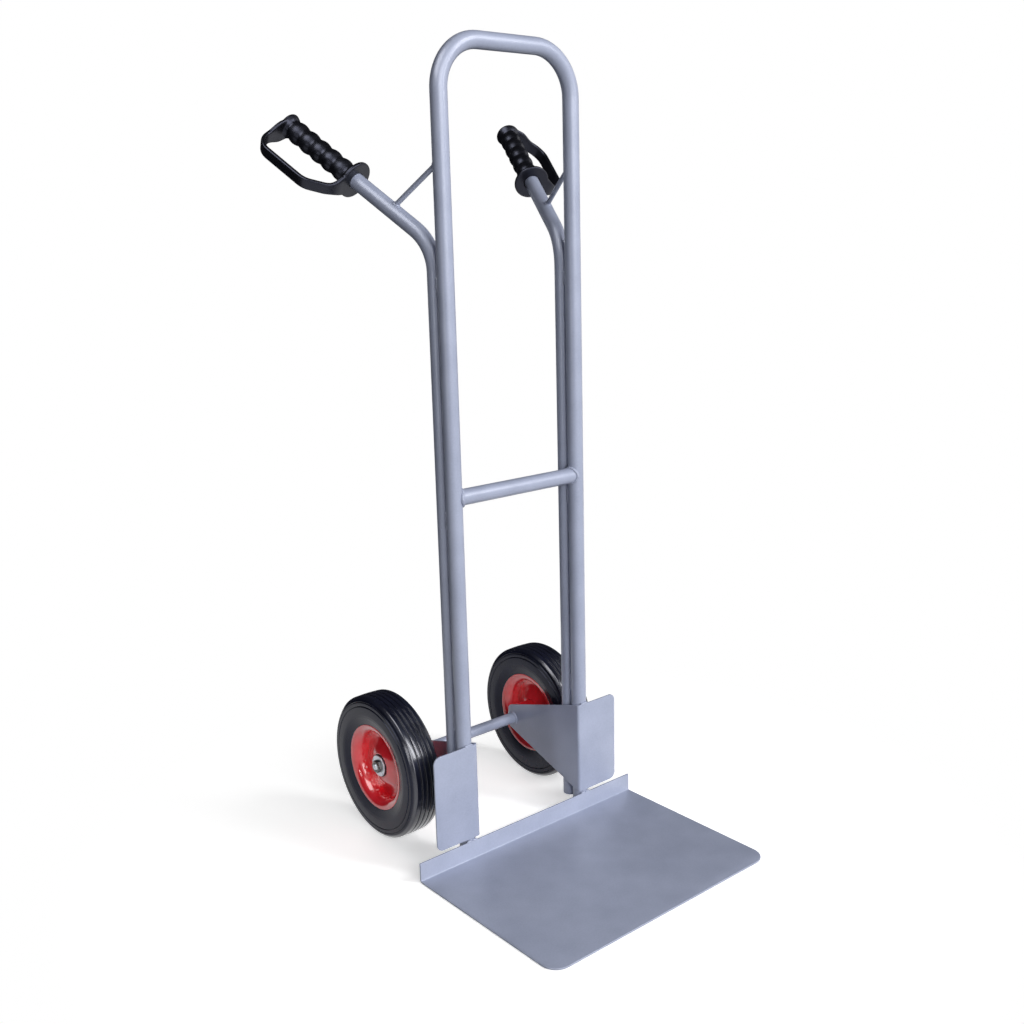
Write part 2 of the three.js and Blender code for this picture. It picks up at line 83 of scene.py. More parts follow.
class Side(Enum):
    """One side of the truck, as its sign along X."""

    LEFT = -1
    RIGHT = 1

    @property
    def end(self) -> str:
        """What the names of the side's nodes, bodies and pieces end in."""
        return "_" + self.name.lower()


@dataclass(frozen=True)
class Box:
    """A CAD node's box at rest, in metres."""

    low: Vector
    high: Vector

    @classmethod
    def of(cls, node: str) -> "Box":
        """The box of a node of the frame."""
        low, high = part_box(node)
        return cls(Vector(low), Vector(high))

    @property
    def middle(self) -> Vector:
        """The box's centre."""
        return (self.low + self.high) / 2

    @property
    def size(self) -> Vector:
        """The box's extent along each axis."""
        return self.high - self.low

    @property
    def span(self) -> list[float]:
        """How far from the truck's middle the box starts and ends, along X."""
        return sorted((abs(self.low.x), abs(self.high.x)))


# ---------------------------------------------------------------- shader graphs
Socket = bpy.types.NodeSocket
Inputs = dict[str | int, object]


class Graph:
    """The node tree of a material or a world, with one way to add a node."""

    def __init__(self, owner: bpy.types.Material | bpy.types.World) -> None:
        """Starts an empty tree.

        Args:
            owner: The new material or world.
        """
        owner.use_nodes = True
        self.tree = owner.node_tree
        self.tree.nodes.clear()

    def add(
        self, kind: str, inputs: Inputs | None = None, out: str | int = 0, **settings: object
    ) -> Socket | None:
        """Adds a node, with its settings, values and links.

        Args:
            kind: The node's type after "ShaderNode".
            inputs: Input name or number to a value, or to the socket that feeds it.
            out: The name or number of the output that is wanted.
            settings: The node's own properties.

        Returns:
            That output, or nothing from a node that has no outputs.
        """
        node = self.tree.nodes.new("ShaderNode" + kind)
        for key, value in settings.items():
            setattr(node, key, value)
        for key, value in (inputs or {}).items():
            if isinstance(value, Socket):
                self.tree.links.new(value, node.inputs[key])
            else:
                node.inputs[key].default_value = value
        return node.outputs[out] if len(node.outputs) else None


def blobs(place: Socket, width: float, detail: float = 2.0) -> Inputs:
    """What noise takes to give blobs of a real width, with finer layers on them."""
    return {"Vector": place, "Scale": 1 / width, "Detail": detail, "Roughness": 0.55}


def patches(graph: Graph, place: Socket, width: float, low: float, high: float, detail: float = 2.0) -> Socket:
    """A value that wanders between two limits.

    Args:
        graph: The material's graph.
        place: Object coordinates in metres.
        width: A patch's width in metres.
        low: The least value.
        high: The greatest value.
        detail: How many finer layers lie on the patches.

    Returns:
        The value.
    """
    cloud = graph.add("TexNoise", blobs(place, width, detail))
    return graph.add("MapRange", {"Value": cloud, 1: 0.3, 2: 0.7, 3: low, 4: high})


def relief(
    graph: Graph, place: Socket, width: float, depth: float, detail: float = 0.0, under: Socket | None = None
) -> Socket:
    """A normal with rounded bumps.

    Args:
        graph: The material's graph.
        place: Object coordinates in metres.
        width: A bump's width in metres.
        depth: Its height in metres.
        detail: How many finer layers lie on the bumps.
        under: A normal that they lie on.

    Returns:
        The normal.
    """
    inputs = {"Height": graph.add("TexNoise", blobs(place, width, detail)), "Distance": depth, "Strength": 1.0}
    return graph.add("Bump", inputs | ({"Normal": under} if under else {}))


def lathe_marks(
    graph: Graph, place: Socket, centre: Place, pitch: float, depth: float
) -> tuple[Socket, Socket]:
    """Fine rings round a line along X.

    Args:
        graph: The material's graph.
        place: Object coordinates in metres.
        centre: A point on the line.
        pitch: The distance from ring to ring, in metres.
        depth: Their depth in metres.

    Returns:
        The distance from the line in metres, and the rings' normal.
    """
    across = {"Vector": place, "Location": (0, -centre[1], -centre[2]), "Scale": (0, 1, 1)}
    radius = graph.add("VectorMath", {0: graph.add("Mapping", across)}, "Value", operation="LENGTH")
    turns = graph.add("Math", {0: radius, 1: 2 * math.pi / pitch}, operation="MULTIPLY")
    height = graph.add("MapRange", {"Value": graph.add("Math", {0: turns}, operation="SINE"), 1: -1, 2: 1})
    return radius, graph.add("Bump", {"Height": height, "Distance": depth, "Strength": 1.0})


# ---------------------------------------------------------------- finishes
@dataclass(frozen=True)
class Finish:
    """What a surface is made of, how it was made, and its two shades."""

    name: str
    slot: str
    shade: str
    light: str

    def material(self) -> bpy.types.Material:
        """Makes the finish's material the first time, and finds it again after that.

        Returns:
            The material.
        """
        if self.name not in bpy.data.materials:
            graph = Graph(bpy.data.materials.new(self.name))
            look = self.look(graph, graph.add("TexCoord", out="Object"))
            graph.add("OutputMaterial", {"Surface": graph.add("BsdfPrincipled", look)})
        return bpy.data.materials[self.name]

    def mixed(self, graph: Graph, share: Socket) -> Socket:
        """Mixes the finish's two shades.

        Args:
            graph: The material's graph.
            share: The lighter shade's share.

        Returns:
            The colour.
        """
        shades = {0: share, 6: linear(self.shade), 7: linear(self.light)}
        return graph.add("Mix", shades, 2, data_type="RGBA")

    def look(self, graph: Graph, place: Socket) -> Inputs:
        """Draws the surface's patterns.

        Args:
            graph: The material's graph.
            place: Object coordinates in metres.

        Returns:
            What the principled shader takes.
        """
        raise NotImplementedError


@dataclass(frozen=True)
class PowderCoat(Finish):
    """Silver-grey gloss powder coat, baked on mild steel.

    The thick film gives soft highlights, a faint orange peel and a shimmer of fine flake.
    """

    shade: str = "#989fb5"
    light: str = "#a5acc2"
    peel: float = mm(6)
    flake: float = mm(2.6)  # real flake is 0.05 mm, drawn as coarse as it needs to show

    def look(self, graph: Graph, place: Socket) -> Inputs:
        """Draws the film.

        Args:
            graph: The material's graph.
            place: Object coordinates in metres.

        Returns:
            What the principled shader takes.
        """
        cloud = graph.add("TexNoise", blobs(place, mm(60)))
        flake = graph.add("TexNoise", blobs(place, self.flake, 0.0))
        shimmer = graph.add("Math", {0: flake, 1: 0.4, 2: cloud}, operation="MULTIPLY_ADD")
        swell = relief(graph, place, mm(90), mm(0.4))
        return {
            "Base Color": self.mixed(graph, graph.add("MapRange", {"Value": shimmer, 1: 0.42, 2: 0.98})),
            "Metallic": 0.05, "Specular IOR Level": 0.36,
            "Roughness": patches(graph, place, mm(25), 0.34, 0.42),
            "Normal": relief(graph, place, self.peel, mm(0.008), under=swell),
            "Coat Weight": 0.25, "Coat Roughness": 0.2, "Coat Normal": swell,
        }


@dataclass(frozen=True)
class StoveEnamel(Finish):
    """Red gloss enamel, stoved on pressed steel rims.

    It is deep and wet-looking, with a slow ripple from the pressing under it.
    """

    shade: str = "#f61e2c"
    light: str = "#ff3442"

    def look(self, graph: Graph, place: Socket) -> Inputs:
        """Draws the enamel.

        Args:
            graph: The material's graph.
            place: Object coordinates in metres.

        Returns:
            What the principled shader takes.
        """
        ripple = relief(graph, place, mm(22), mm(0.35))
        return {
            "Base Color": self.mixed(graph, patches(graph, place, mm(30), 0, 1)),
            "Roughness": 0.22, "Normal": relief(graph, place, mm(2.2), mm(0.012), 1.0, ripple),
            "Coat Weight": 1.0, "Coat Roughness": 0.05, "Coat Normal": ripple,
        }


@dataclass(frozen=True)
class MouldedRubber(Finish):
    """Black solid rubber, moulded in a turned tool.

    The tool's turning marks run round it as fine rings, and a thin bloom of dust dulls its sides.
    The ribs of the tread come out of the tool with a waxy shine.
    """

    # Partly painted reflection: the blue lift in both shades stands for the bluish gloss on the tyre's sides;
    # the near-black under it is the rubber's own.
    shade: str = "#101220"
    light: str = "#191c2e"
    centre: Place = (0, 0, 0)
    shine_start: float = mm(118)
    shine_full: float = mm(121)
    ring: float = mm(2.4)  # real marks are 0.2 mm apart, drawn as coarse as they need to show
    bloom: float = mm(35)

    def look(self, graph: Graph, place: Socket) -> Inputs:
        """Draws the rubber.

        Args:
            graph: The material's graph.
            place: Object coordinates in metres.

        Returns:
            What the principled shader takes.
        """
        radius, marks = lathe_marks(graph, place, self.centre, self.ring, mm(0.015))
        normal = relief(graph, place, mm(2.2), mm(0.02), 2.0, marks)
        return {
            "Base Color": self.mixed(graph, patches(graph, place, self.bloom, 0, 1, 3.0)),
            "Roughness": patches(graph, place, self.bloom, 0.18, 0.27, 3.0), "Normal": normal,
            "Specular IOR Level": 0.24, "Specular Tint": linear("#dfe2ff"),
            "Coat Weight": graph.add("MapRange", {"Value": radius, 1: self.shine_start, 2: self.shine_full}),
            "Coat IOR": 1.65, "Coat Roughness": 0.22, "Coat Normal": normal,
        }


@dataclass(frozen=True)
class SparkedPolymer(Finish):
    """Polypropylene or nylon, moulded in a spark-eroded tool.

    The tool's texture gives a fine pebbled grain and a satin sheen that worn high spots polish.
    """

    shade: str = "#060608"
    light: str = "#0d0d10"
    grain: float = mm(2.4)  # the real grain is 0.2 mm, drawn as coarse as it needs to show

    def look(self, graph: Graph, place: Socket) -> Inputs:
        """Draws the polymer.

        Args:
            graph: The material's graph.
            place: Object coordinates in metres.

        Returns:
            What the principled shader takes.
        """
        return {
            "Base Color": self.mixed(graph, patches(graph, place, mm(14), 0, 1)),
            "Roughness": patches(graph, place, mm(18), 0.3, 0.4),
            "Normal": relief(graph, place, self.grain, mm(0.004), 1.0),
            "Specular IOR Level": 0.5, "Specular Tint": linear("#ced3f2"),
        }


@dataclass(frozen=True)
class PlatedSteel(Finish):
    """Steel, turned or pressed and then plated or ground.

    The lathe leaves fine rings round the axle's line, and the plating a slight cloudiness.
    """

    shade: str = "#9b9fa8"
    light: str = "#c3c6cc"
    centre: Place = (0, 0, 0)
    roughness: float = 0.3
    cloud: float = mm(6)

    def look(self, graph: Graph, place: Socket) -> Inputs:
        """Draws the plating.

        Args:
            graph: The material's graph.
            place: Object coordinates in metres.

        Returns:
            What the principled shader takes.
        """
        _, marks = lathe_marks(graph, place, self.centre, mm(0.8), mm(0.01))
        low, high = self.roughness - 0.06, self.roughness + 0.08
        return {
            "Base Color": self.mixed(graph, patches(graph, place, self.cloud, 0, 1, 3.0)),
            "Metallic": 1.0, "Roughness": patches(graph, place, self.cloud, low, high, 3.0), "Normal": marks,
        }


PAINT = PowderCoat("Powder coat on mild steel, silver grey", "frame_paint")
ENAMEL = StoveEnamel("Stoved enamel on pressed steel, red", "wheel_paint")
POLYMER = SparkedPolymer("Polypropylene, spark-textured mould, black", "grip_plastic")
NYLON = SparkedPolymer("Nylon 66, moulded, black", "cage_plastic", "#101012", "#1c1c20")
AXLE_LINE = tuple(Box.of("axle").middle)
ZINC = PlatedSteel("Zinc-plated steel, turned", "zinc_steel", centre=AXLE_LINE)
# Painted shade: the nut is the washers' zinc, drawn in darker shades that stand for its unlit faces.
NUT_IN_PAINTED_SHADE = PlatedSteel("Zinc-plated steel, cold-formed", "zinc_steel", "#5c5a58", "#7c7a78", AXLE_LINE)
ROLLER = PlatedSteel("Bearing steel, ground", "hard_steel", centre=AXLE_LINE, roughness=0.2)


# ---------------------------------------------------------------- modelling
BMesh, BMVert, BMEdge = bmesh.types.BMesh, bmesh.types.BMVert, bmesh.types.BMEdge
Draw = Callable[[BMesh], object]
Profile = Sequence[tuple[float, ...]]


def settle(bm: BMesh) -> None:
    """Merges doubled corners and turns every face outwards."""
    bmesh.ops.remove_doubles(bm, verts=bm.verts, dist=mm(0.005))
    bmesh.ops.recalc_face_normals(bm, faces=bm.faces)


def thicken(bm: BMesh, wall: float) -> None:
    """Gives a skin a wall, in metres."""
    bmesh.ops.solidify(bm, geom=bm.faces[:], thickness=wall)


def bevelled(bm: BMesh, affect: str, geom: list[BMVert] | list[BMEdge], reach: float, segments: int) -> None:
    """Bevels corners or edges.

    Args:
        bm: The mesh.
        affect: "VERTICES" or "EDGES".
        geom: What is bevelled.
        reach: How far from it the bevel starts.
        segments: Steps across it.
    """
    bmesh.ops.bevel(
        bm, geom=geom, offset=reach, offset_type="OFFSET", segments=segments, profile=0.5, affect=affect,
        clamp_overlap=affect == "EDGES", material=-1,
    )


def rectangle(bm: BMesh, width: float, length: float, place: Matrix) -> None:
    """Draws a flat rectangle round a place, across its Z."""
    bmesh.ops.create_grid(bm, x_segments=1, y_segments=1, size=0.5)
    bmesh.ops.transform(bm, matrix=place @ Matrix.Diagonal((width, length, 1, 1)), verts=bm.verts)


def grow(bm: BMesh, edges: Iterable[BMEdge]) -> tuple[list[BMVert], list[BMEdge]]:
    """Extrudes edges.

    Args:
        bm: The mesh.
        edges: Its edges to extrude.

    Returns:
        The new corners and the new edges.
    """
    new = bmesh.ops.extrude_edge_only(bm, edges=list(edges))["geom"]
    return [g for g in new if isinstance(g, BMVert)], [g for g in new if isinstance(g, BMEdge)]


def fold(bm: BMesh, middle: Vector, axis: Vector, run: Vector) -> list[BMVert]:
    """Folds a sheet by a quarter turn at its edge beside the fold's middle, and draws its flange.

    Args:
        bm: The sheet.
        middle: A point of the fold's middle line.
        axis: The way the fold turns about.
        run: The flange's length and heading.

    Returns:
        The flange's far corners.
    """
    beside = run.normalized().cross(axis)
    edges = [e for e in bm.edges if all(abs((v.co - middle).dot(beside)) < mm(0.01) for v in e.verts)]
    turn = bmesh.ops.spin(bm, geom=edges, cent=middle, axis=axis, angle=math.pi / 2, steps=6)["geom_last"]
    corners, _ = grow(bm, (g for g in turn if isinstance(g, BMEdge)))
    bmesh.ops.translate(bm, vec=run, verts=corners)
    return corners


def gauge(bm: BMesh, facing: Vector, sheet: float, edge: float) -> None:
    """Gives a folded skin the sheet's thickness, and rounds its sharp edges.

    Args:
        bm: The skin.
        facing: The way that the skin faces.
        sheet: The thickness.
        edge: The rounding's radius.
    """
    settle(bm)
    widest = max(bm.faces, key=lambda face: abs(face.normal.dot(facing)) * face.calc_area())
    if widest.normal.dot(facing) < 0:
        bmesh.ops.reverse_faces(bm, faces=bm.faces[:])
    thicken(bm, sheet)
    sharp = [e for e in bm.edges if len(e.link_faces) == 2 and e.calc_face_angle() > math.radians(60)]
    bevelled(bm, "EDGES", sharp, edge, 3)


def frame_at(origin: Vector, along: Vector, beside: Vector) -> Matrix:
    """A frame to draw a section in.

    Args:
        origin: Its place.
        along: The way its Z points.
        beside: The way its Y points, as nearly as Z lets it.

    Returns:
        The frame.
    """
    z = along.normalized()
    x = beside.cross(z).normalized()
    return Matrix.Translation(origin) @ Matrix((x, z.cross(x), z)).transposed().to_4x4()


def route(corners: Sequence[Vector], bends: Sequence[float], beside: Vector, step: float = 5.0) -> list[Matrix]:
    """The frames along a line through corners, with a round bend at each inner corner.

    Args:
        corners: The line's corners.
        bends: The bend radius at each inner corner.
        beside: The way the first frame's Y points.
        step: The most degrees between two frames of a bend.

    Returns:
        The frames, each with Z along the line.
    """
    heading = (corners[1] - corners[0]).normalized()
    place = frame_at(corners[0], heading, beside)
    frames = [place]
    for corner, after, radius in zip(corners[1:], corners[2:], bends):
        ahead = (after - corner).normalized()
        turn = heading.angle(ahead)
        start = corner - heading * radius * math.tan(turn / 2)
        place = Matrix.Translation(start - place.translation) @ place
        frames.append(place)
        inward = (ahead - heading * ahead.dot(heading)).normalized()
        centre = start + inward * radius
        count = math.ceil(math.degrees(turn) / step)
        part = Matrix.Rotation(turn / count, 4, heading.cross(inward))
        part = Matrix.Translation(centre) @ part @ Matrix.Translation(-centre)
        for _ in range(count):
            place = part @ place
            frames.append(place)
        heading = ahead
    frames.append(Matrix.Translation(corners[-1] - place.translation) @ place)
    return frames


def swept(frames: Sequence[Matrix], draw: Draw, closed: bool = False, capped: bool = False) -> BMesh:
    """Draws a section and carries it through frames.

    Args:
        frames: Where the section stands, one after another.
        draw: Draws the section's edges in the XY plane.
        closed: Whether the last section joins the first.
        capped: Whether the ends are closed.

    Returns:
        The mesh.
    """
    bm = bmesh.new()
    draw(bm)
    bmesh.ops.transform(bm, matrix=frames[0], verts=bm.verts)
    first = rim = bm.edges[:]
    for before, after in zip(frames, frames[1:]):
        ring, rim = grow(bm, rim)
        bmesh.ops.transform(bm, matrix=after @ before.inverted(), verts=ring)
    if closed:
        bmesh.ops.bridge_loops(bm, edges=first + rim)
    if capped:
        bmesh.ops.holes_fill(bm, edges=first + rim, sides=0)
    settle(bm)
    return bm


def circle(radius: float, sides: int = 48) -> Draw:
    """A round section."""
    return lambda bm: bmesh.ops.create_circle(bm, segments=sides, radius=radius)


def bar(width: float, thickness: float, corner: float) -> Draw:
    """A rectangular section with rounded corners.

    Args:
        width: Its extent along X.
        thickness: Its extent along Y.
        corner: Its corners' radius.

    Returns:
        What draws it.
    """

    def draw(bm: BMesh) -> None:
        """Draws the section's edges.

        Args:
            bm: The mesh that takes them.
        """
        rectangle(bm, width, thickness, Matrix())
        bevelled(bm, "VERTICES", bm.verts[:], corner, 5)
        bmesh.ops.delete(bm, geom=bm.faces[:], context="FACES_ONLY")

    return draw


def turned(profile: Profile, about: Vector, side: int = 1, steps: int = 96, closed: bool = True) -> BMesh:
    """Turns a profile round a line along X.

    Args:
        profile: Corners, each its place along X, its radius, and if it is rounded, its rounding.
        about: Where the profile's zero lies.
        side: The way the profile's X points.
        steps: How many steps the turn takes.
        closed: Whether the last corner joins the first.

    Returns:
        The mesh.
    """
    bm = bmesh.new()
    corners = [bm.verts.new((side * x, 0, r)) for x, r, *_ in profile]
    for start, end in zip(corners, corners[1:] + corners[:1] if closed else corners[1:]):
        bm.edges.new((start, end))
    places = [corner.co.copy() for corner in corners]
    for i, (_, _, *rounding) in enumerate(profile):
        if rounding:
            back = places[i - 1] - places[i]
            ahead = places[(i + 1) % len(places)] - places[i]
            bevelled(bm, "VERTICES", [corners[i]], rounding[0] / math.tan(back.angle(ahead) / 2), 4)
    geom = bm.verts[:] + bm.edges[:]
    bmesh.ops.spin(bm, geom=geom, cent=(0, 0, 0), axis=X, angle=2 * math.pi, steps=steps, use_merge=True)
    settle(bm)
    bmesh.ops.dissolve_degenerate(bm, edges=bm.edges, dist=mm(0.002))
    bmesh.ops.translate(bm, verts=bm.verts, vec=about)
    return bm


@dataclass(frozen=True)
class Line:
    """The middle line of a round tube, and the tube's radius."""

    start: Vector
    along: Vector
    radius: float

    def meet(self, point: Vector, heading: Vector, gap: float = mm(0.3)) -> Vector:
        """Where a point that moves along a heading meets the tube.

        Args:
            point: Where it starts.
            heading: The way it moves.
            gap: How far off the tube it stops.

        Returns:
            The place on the tube's surface.
        """
        away = point - self.nearest(point)
        slope = heading - self.along * heading.dot(self.along)
        b = away.dot(slope)
        c = away.length_squared - (self.radius + gap) ** 2
        root = math.sqrt(max(b * b - slope.length_squared * c, 0))
        return point - heading * (b + root) / slope.length_squared

    def nearest(self, point: Vector) -> Vector:
        """The point of the middle line that is nearest to a point."""
        return self.start + self.along * (point - self.start).dot(self.along)


def meshed(bm: BMesh, name: str, material: bpy.types.Material | None = None) -> bpy.types.Mesh:
    """Turns a bmesh into a mesh, and frees it.

    Args:
        bm: The bmesh.
        name: The mesh's name.
        material: Its material.

    Returns:
        The mesh.
    """
    mesh = bpy.data.meshes.new(name)
    bm.to_mesh(mesh)
    bm.free()
    if material:
        mesh.materials.append(material)
    return mesh


def join(whole: BMesh, part: BMesh) -> None:
    """Adds a part to a mesh, and frees the part.

    Args:
        whole: The mesh.
        part: The part.
    """
    mesh = meshed(part, "part")
    whole.from_mesh(mesh)
    bpy.data.meshes.remove(mesh)


def stand(name: str, data: bpy.types.ID) -> bpy.types.Object:
    """Puts a mesh, lamp or camera into the scene.

    Args:
        name: The object's name.
        data: What it shows.

    Returns:
        The object.
    """
    piece = bpy.data.objects.new(name, data)
    bpy.context.collection.objects.link(piece)
    return piece


def publish(
    bm: BMesh, name: str, finish: Finish, body: str, node: str = "", end: str = "", sharp: float = 35.0
) -> None:
    """Makes a finished mesh a piece of the truck.

    Args:
        bm: The mesh, freed afterwards.
        name: The piece's name.
        finish: What it is made of.
        body: The body it rides on.
        node: The CAD node it stands for.
        end: What both names end in.
        sharp: The least angle in degrees of an edge that stays sharp.
    """
    mesh = meshed(bm, name + end, finish.material())
    mesh.shade_smooth()
    mesh.set_sharp_from_angle(angle=math.radians(sharp))
    piece = stand(name + end, mesh)
    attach(piece, body)
    if node:
        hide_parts(node + end)
    log.info("%s: %d faces, %s", name + end, len(mesh.polygons), finish.name)


# ---------------------------------------------------------------- welds
@dataclass
class WeldSeams:
    """The beads of weld metal on the frame, with the ripples that each pool left as it set."""

    ripple: float = mm(1.7)
    sink: float = 0.16  # how much narrower the bead is at a ripple's end
    uneven: float = 0.08  # how much a ripple's width strays
    step: float = mm(0.5)  # from section to section
    finish: Finish = PAINT
    mesh: BMesh = field(default_factory=bmesh.new)
    chance: random.Random = field(default_factory=lambda: random.Random(4))

    def bead(self, points: Sequence[Vector], beside: Sequence[Vector], radius: float, closed: bool) -> None:
        """Lays one bead.

        Args:
            points: The bead's middle, in small steps.
            beside: The way out of the metal at each point.
            radius: The bead's radius.
            closed: Whether it comes back to its start.
        """
        frames, run, swell = [], 0.0, 1.0
        count = len(points)
        for i, point in enumerate(points):
            before = points[i - 1] if i or closed else point
            after = points[(i + 1) % count] if i < count - 1 or closed else point
            run += (point - before).length
            if run > self.ripple:
                run, swell = 0.0, self.chance.uniform(1 - self.uneven, 1 + self.uneven)
            taper = 1.0 if closed else min(1.0, 0.35 + 5 * min(i, count - 1 - i) / count)
            size = radius * swell * taper * (1 - self.sink * (run / self.ripple) ** 2)
            frames.append(frame_at(point, after - before, beside[i]) @ Matrix.Diagonal((size, size, size, 1)))
        join(self.mesh, swept(frames, circle(1.0, 12), closed=closed, capped=not closed))

    def straight(self, start: Vector, end: Vector, beside: Vector, radius: float) -> None:
        """Lays a straight bead.

        Args:
            start: One end.
            end: The other end.
            beside: The way out of the metal.
            radius: The bead's radius.
        """
        count = math.ceil((end - start).length / mm(0.4))
        points = [start.lerp(end, i / count) for i in range(count + 1)]
        self.bead(points, [beside] * len(points), radius, False)

    def ring(self, branch: Line, heading: Vector, trunk: Line, radius: float, inset: float = 0.84) -> None:
        """Lays a bead round the end of a tube, where it meets another tube.

        Args:
            branch: The tube that ends.
            heading: The way it runs towards the other.
            trunk: The tube that it meets.
            radius: The bead's radius.
            inset: How far the bead cuts across the saddle's two narrow corners, which the pool fills.
        """
        count = math.ceil(2 * math.pi * branch.radius / self.step)
        start = frame_at(branch.start, heading, trunk.along)
        points, beside = [], []
        for i in range(count):
            angle = 2 * math.pi * i / count
            way = Vector((math.cos(angle), math.sin(angle), 0)) * branch.radius
            rim, inner = start @ way, start @ (way * inset)
            point = rim + trunk.meet(inner, heading, 0.0) - inner
            points.append(point)
            off_branch = (rim - branch.start).normalized()
            off_trunk = (point - trunk.nearest(point)).normalized()
            beside.append((off_branch + off_trunk).normalized())
        self.bead(points, beside, radius, True)

    def circle(self, centre: Vector, reach: float, radius: float) -> None:
        """Lays a bead round a bar along X, on a plate.

        Args:
            centre: Where the bar leaves the plate.
            reach: The bar's radius.
            radius: The bead's radius.
        """
        count = math.ceil(2 * math.pi * reach / self.step)
        beside = [Matrix.Rotation(2 * math.pi * i / count, 3, "X") @ Z for i in range(count)]
        self.bead([centre + b * reach for b in beside], beside, radius, True)

    def build(self) -> None:
        """Makes every bead one piece."""
        publish(self.mesh, "weld_seams", self.finish, "frame", sharp=80)


# ---------------------------------------------------------------- frame
@dataclass
class FrameLoop:
    """The bent tube that is both uprights and the top loop, with its crossbar."""

    radius: float = mm(13)
    wall: float = mm(2)
    bend: float = mm(72)
    bead: float = mm(3)
    finish: Finish = PAINT

    def upright(self, side: Side) -> Line:
        """Finds the middle line of one upright.

        Args:
            side: Which one.

        Returns:
            The line.
        """
        box = Box.of("main_frame_tube")
        x = side.value * (box.size.x / 2 - self.radius)
        return Line(Vector((x, box.low.y + self.radius, box.low.z)), Z, self.radius)

    def build(self, welds: WeldSeams) -> None:
        """Bends the loop, and sets the crossbar between its uprights.

        Args:
            welds: Takes the crossbar's beads.
        """
        left, right = (self.upright(side).start for side in Side)
        top = Z * (Box.of("main_frame_tube").size.z - self.radius)
        bm = swept(route([left, left + top, right + top, right], [self.bend] * 2, Y), circle(self.radius))
        thicken(bm, self.wall)
        publish(bm, "frame_loop", self.finish, "frame", "main_frame_tube")

        crossbar = Line(Vector((0, left.y, Box.of("crossbar").middle.z)), X, self.radius)
        ends = [frame_at(crossbar.start + X * reach, X, Z) for reach in (-mm(60), mm(60))]
        bm = swept(ends, circle(self.radius))
        for side in Side:
            upright = self.upright(side)
            for vert in [v for v in bm.verts if v.co.x * side.value > 0]:
                vert.co = upright.meet(vert.co, X * side.value)
            welds.ring(crossbar, X * side.value, upright, self.bead)
        thicken(bm, self.wall)
        publish(bm, "crossbar_tube", self.finish, "frame", "crossbar")


@dataclass
class Handle:
    """One handle tube, welded behind its upright, and the strut that braces it."""

    side: Side
    radius: float = mm(12.5)
    wall: float = mm(2)
    bend: float = mm(78)
    bend_height: float = mm(995)
    reach: float = mm(310)
    rise: float = math.radians(35.5)
    splay: float = math.radians(21)
    strut_radius: float = mm(4)
    strut_reach: float = mm(91)
    strut_height: float = mm(1115)
    strut_bead: float = mm(1.9)
    seam_bead: float = mm(2.6)
    seam_spread: float = mm(6.5)  # how far the seams lie beside the tubes' middle
    seams: tuple[tuple[float, float], ...] = ((926, 948), (560, 590), (222, 252))  # heights in millimetres
    finish: Finish = PAINT

    @property
    def heading(self) -> Vector:
        """The way the handle points.

        Returns:
            A heading of length one.
        """
        level = math.cos(self.rise)
        out, back = level * math.sin(self.splay), level * math.cos(self.splay)
        return Vector((self.side.value * out, back, math.sin(self.rise)))

    @property
    def crossing(self) -> Vector:
        """Where the handle's two straight runs would cross.

        Returns:
            The place.
        """
        box = Box.of("handle_tube" + self.side.end)
        x = FrameLoop().upright(self.side).start.x
        return Vector((x, box.low.y + self.radius, self.bend_height))

    def along(self, distance: float) -> Vector:
        """A point of the upper run, at a distance from the crossing."""
        return self.crossing + self.heading * distance

    def build(self, upright: Line, welds: WeldSeams) -> None:
        """Bends the tube, and welds it to its upright and its strut.

        Args:
            upright: The upright that carries them.
            welds: Takes their beads.
        """
        foot = self.crossing.copy()
        foot.z = Box.of("handle_tube" + self.side.end).low.z
        bm = swept(route([foot, self.crossing, self.along(self.reach)], [self.bend], X), circle(self.radius))
        thicken(bm, self.wall)
        publish(bm, "handle_tube_bent", self.finish, "frame", "handle_tube", self.side.end)
        self.strut(upright, welds)
        seam = (upright.start.y + upright.radius + self.crossing.y - self.radius) / 2
        for low, high in self.seams:
            for way in (-1, 1):
                x = self.crossing.x + way * self.seam_spread
                start, end = (Vector((x, seam, mm(height))) for height in (low, high))
                welds.straight(start, end, X * way, self.seam_bead)

    def strut(self, upright: Line, welds: WeldSeams) -> None:
        """Fits the strut between the handle and its upright.

        Args:
            upright: The upright.
            welds: Takes the strut's beads.
        """
        low = self.along(self.strut_reach)
        high = upright.start.copy()
        high.z = self.strut_height
        heading = (high - low).normalized()
        middle = low.lerp(high, 0.5)
        handle = Line(self.crossing, self.heading, self.radius)
        rod = Line(middle, heading, self.strut_radius)
        ends = [frame_at(middle + heading * way, heading, X) for way in (-mm(5), mm(5))]
        bm = swept(ends, circle(self.strut_radius, 24))
        for vert in bm.verts:
            onto, way = (upright, heading) if (vert.co - middle).dot(heading) > 0 else (handle, -heading)
            vert.co = onto.meet(vert.co, way)
        bmesh.ops.holes_fill(bm, edges=bm.edges[:], sides=0)
        settle(bm)
        publish(bm, "strut_rod", self.finish, "frame", "handle_strut", self.side.end, 60)
        welds.ring(rod, heading, upright, self.strut_bead)
        welds.ring(rod, -heading, handle, self.strut_bead)


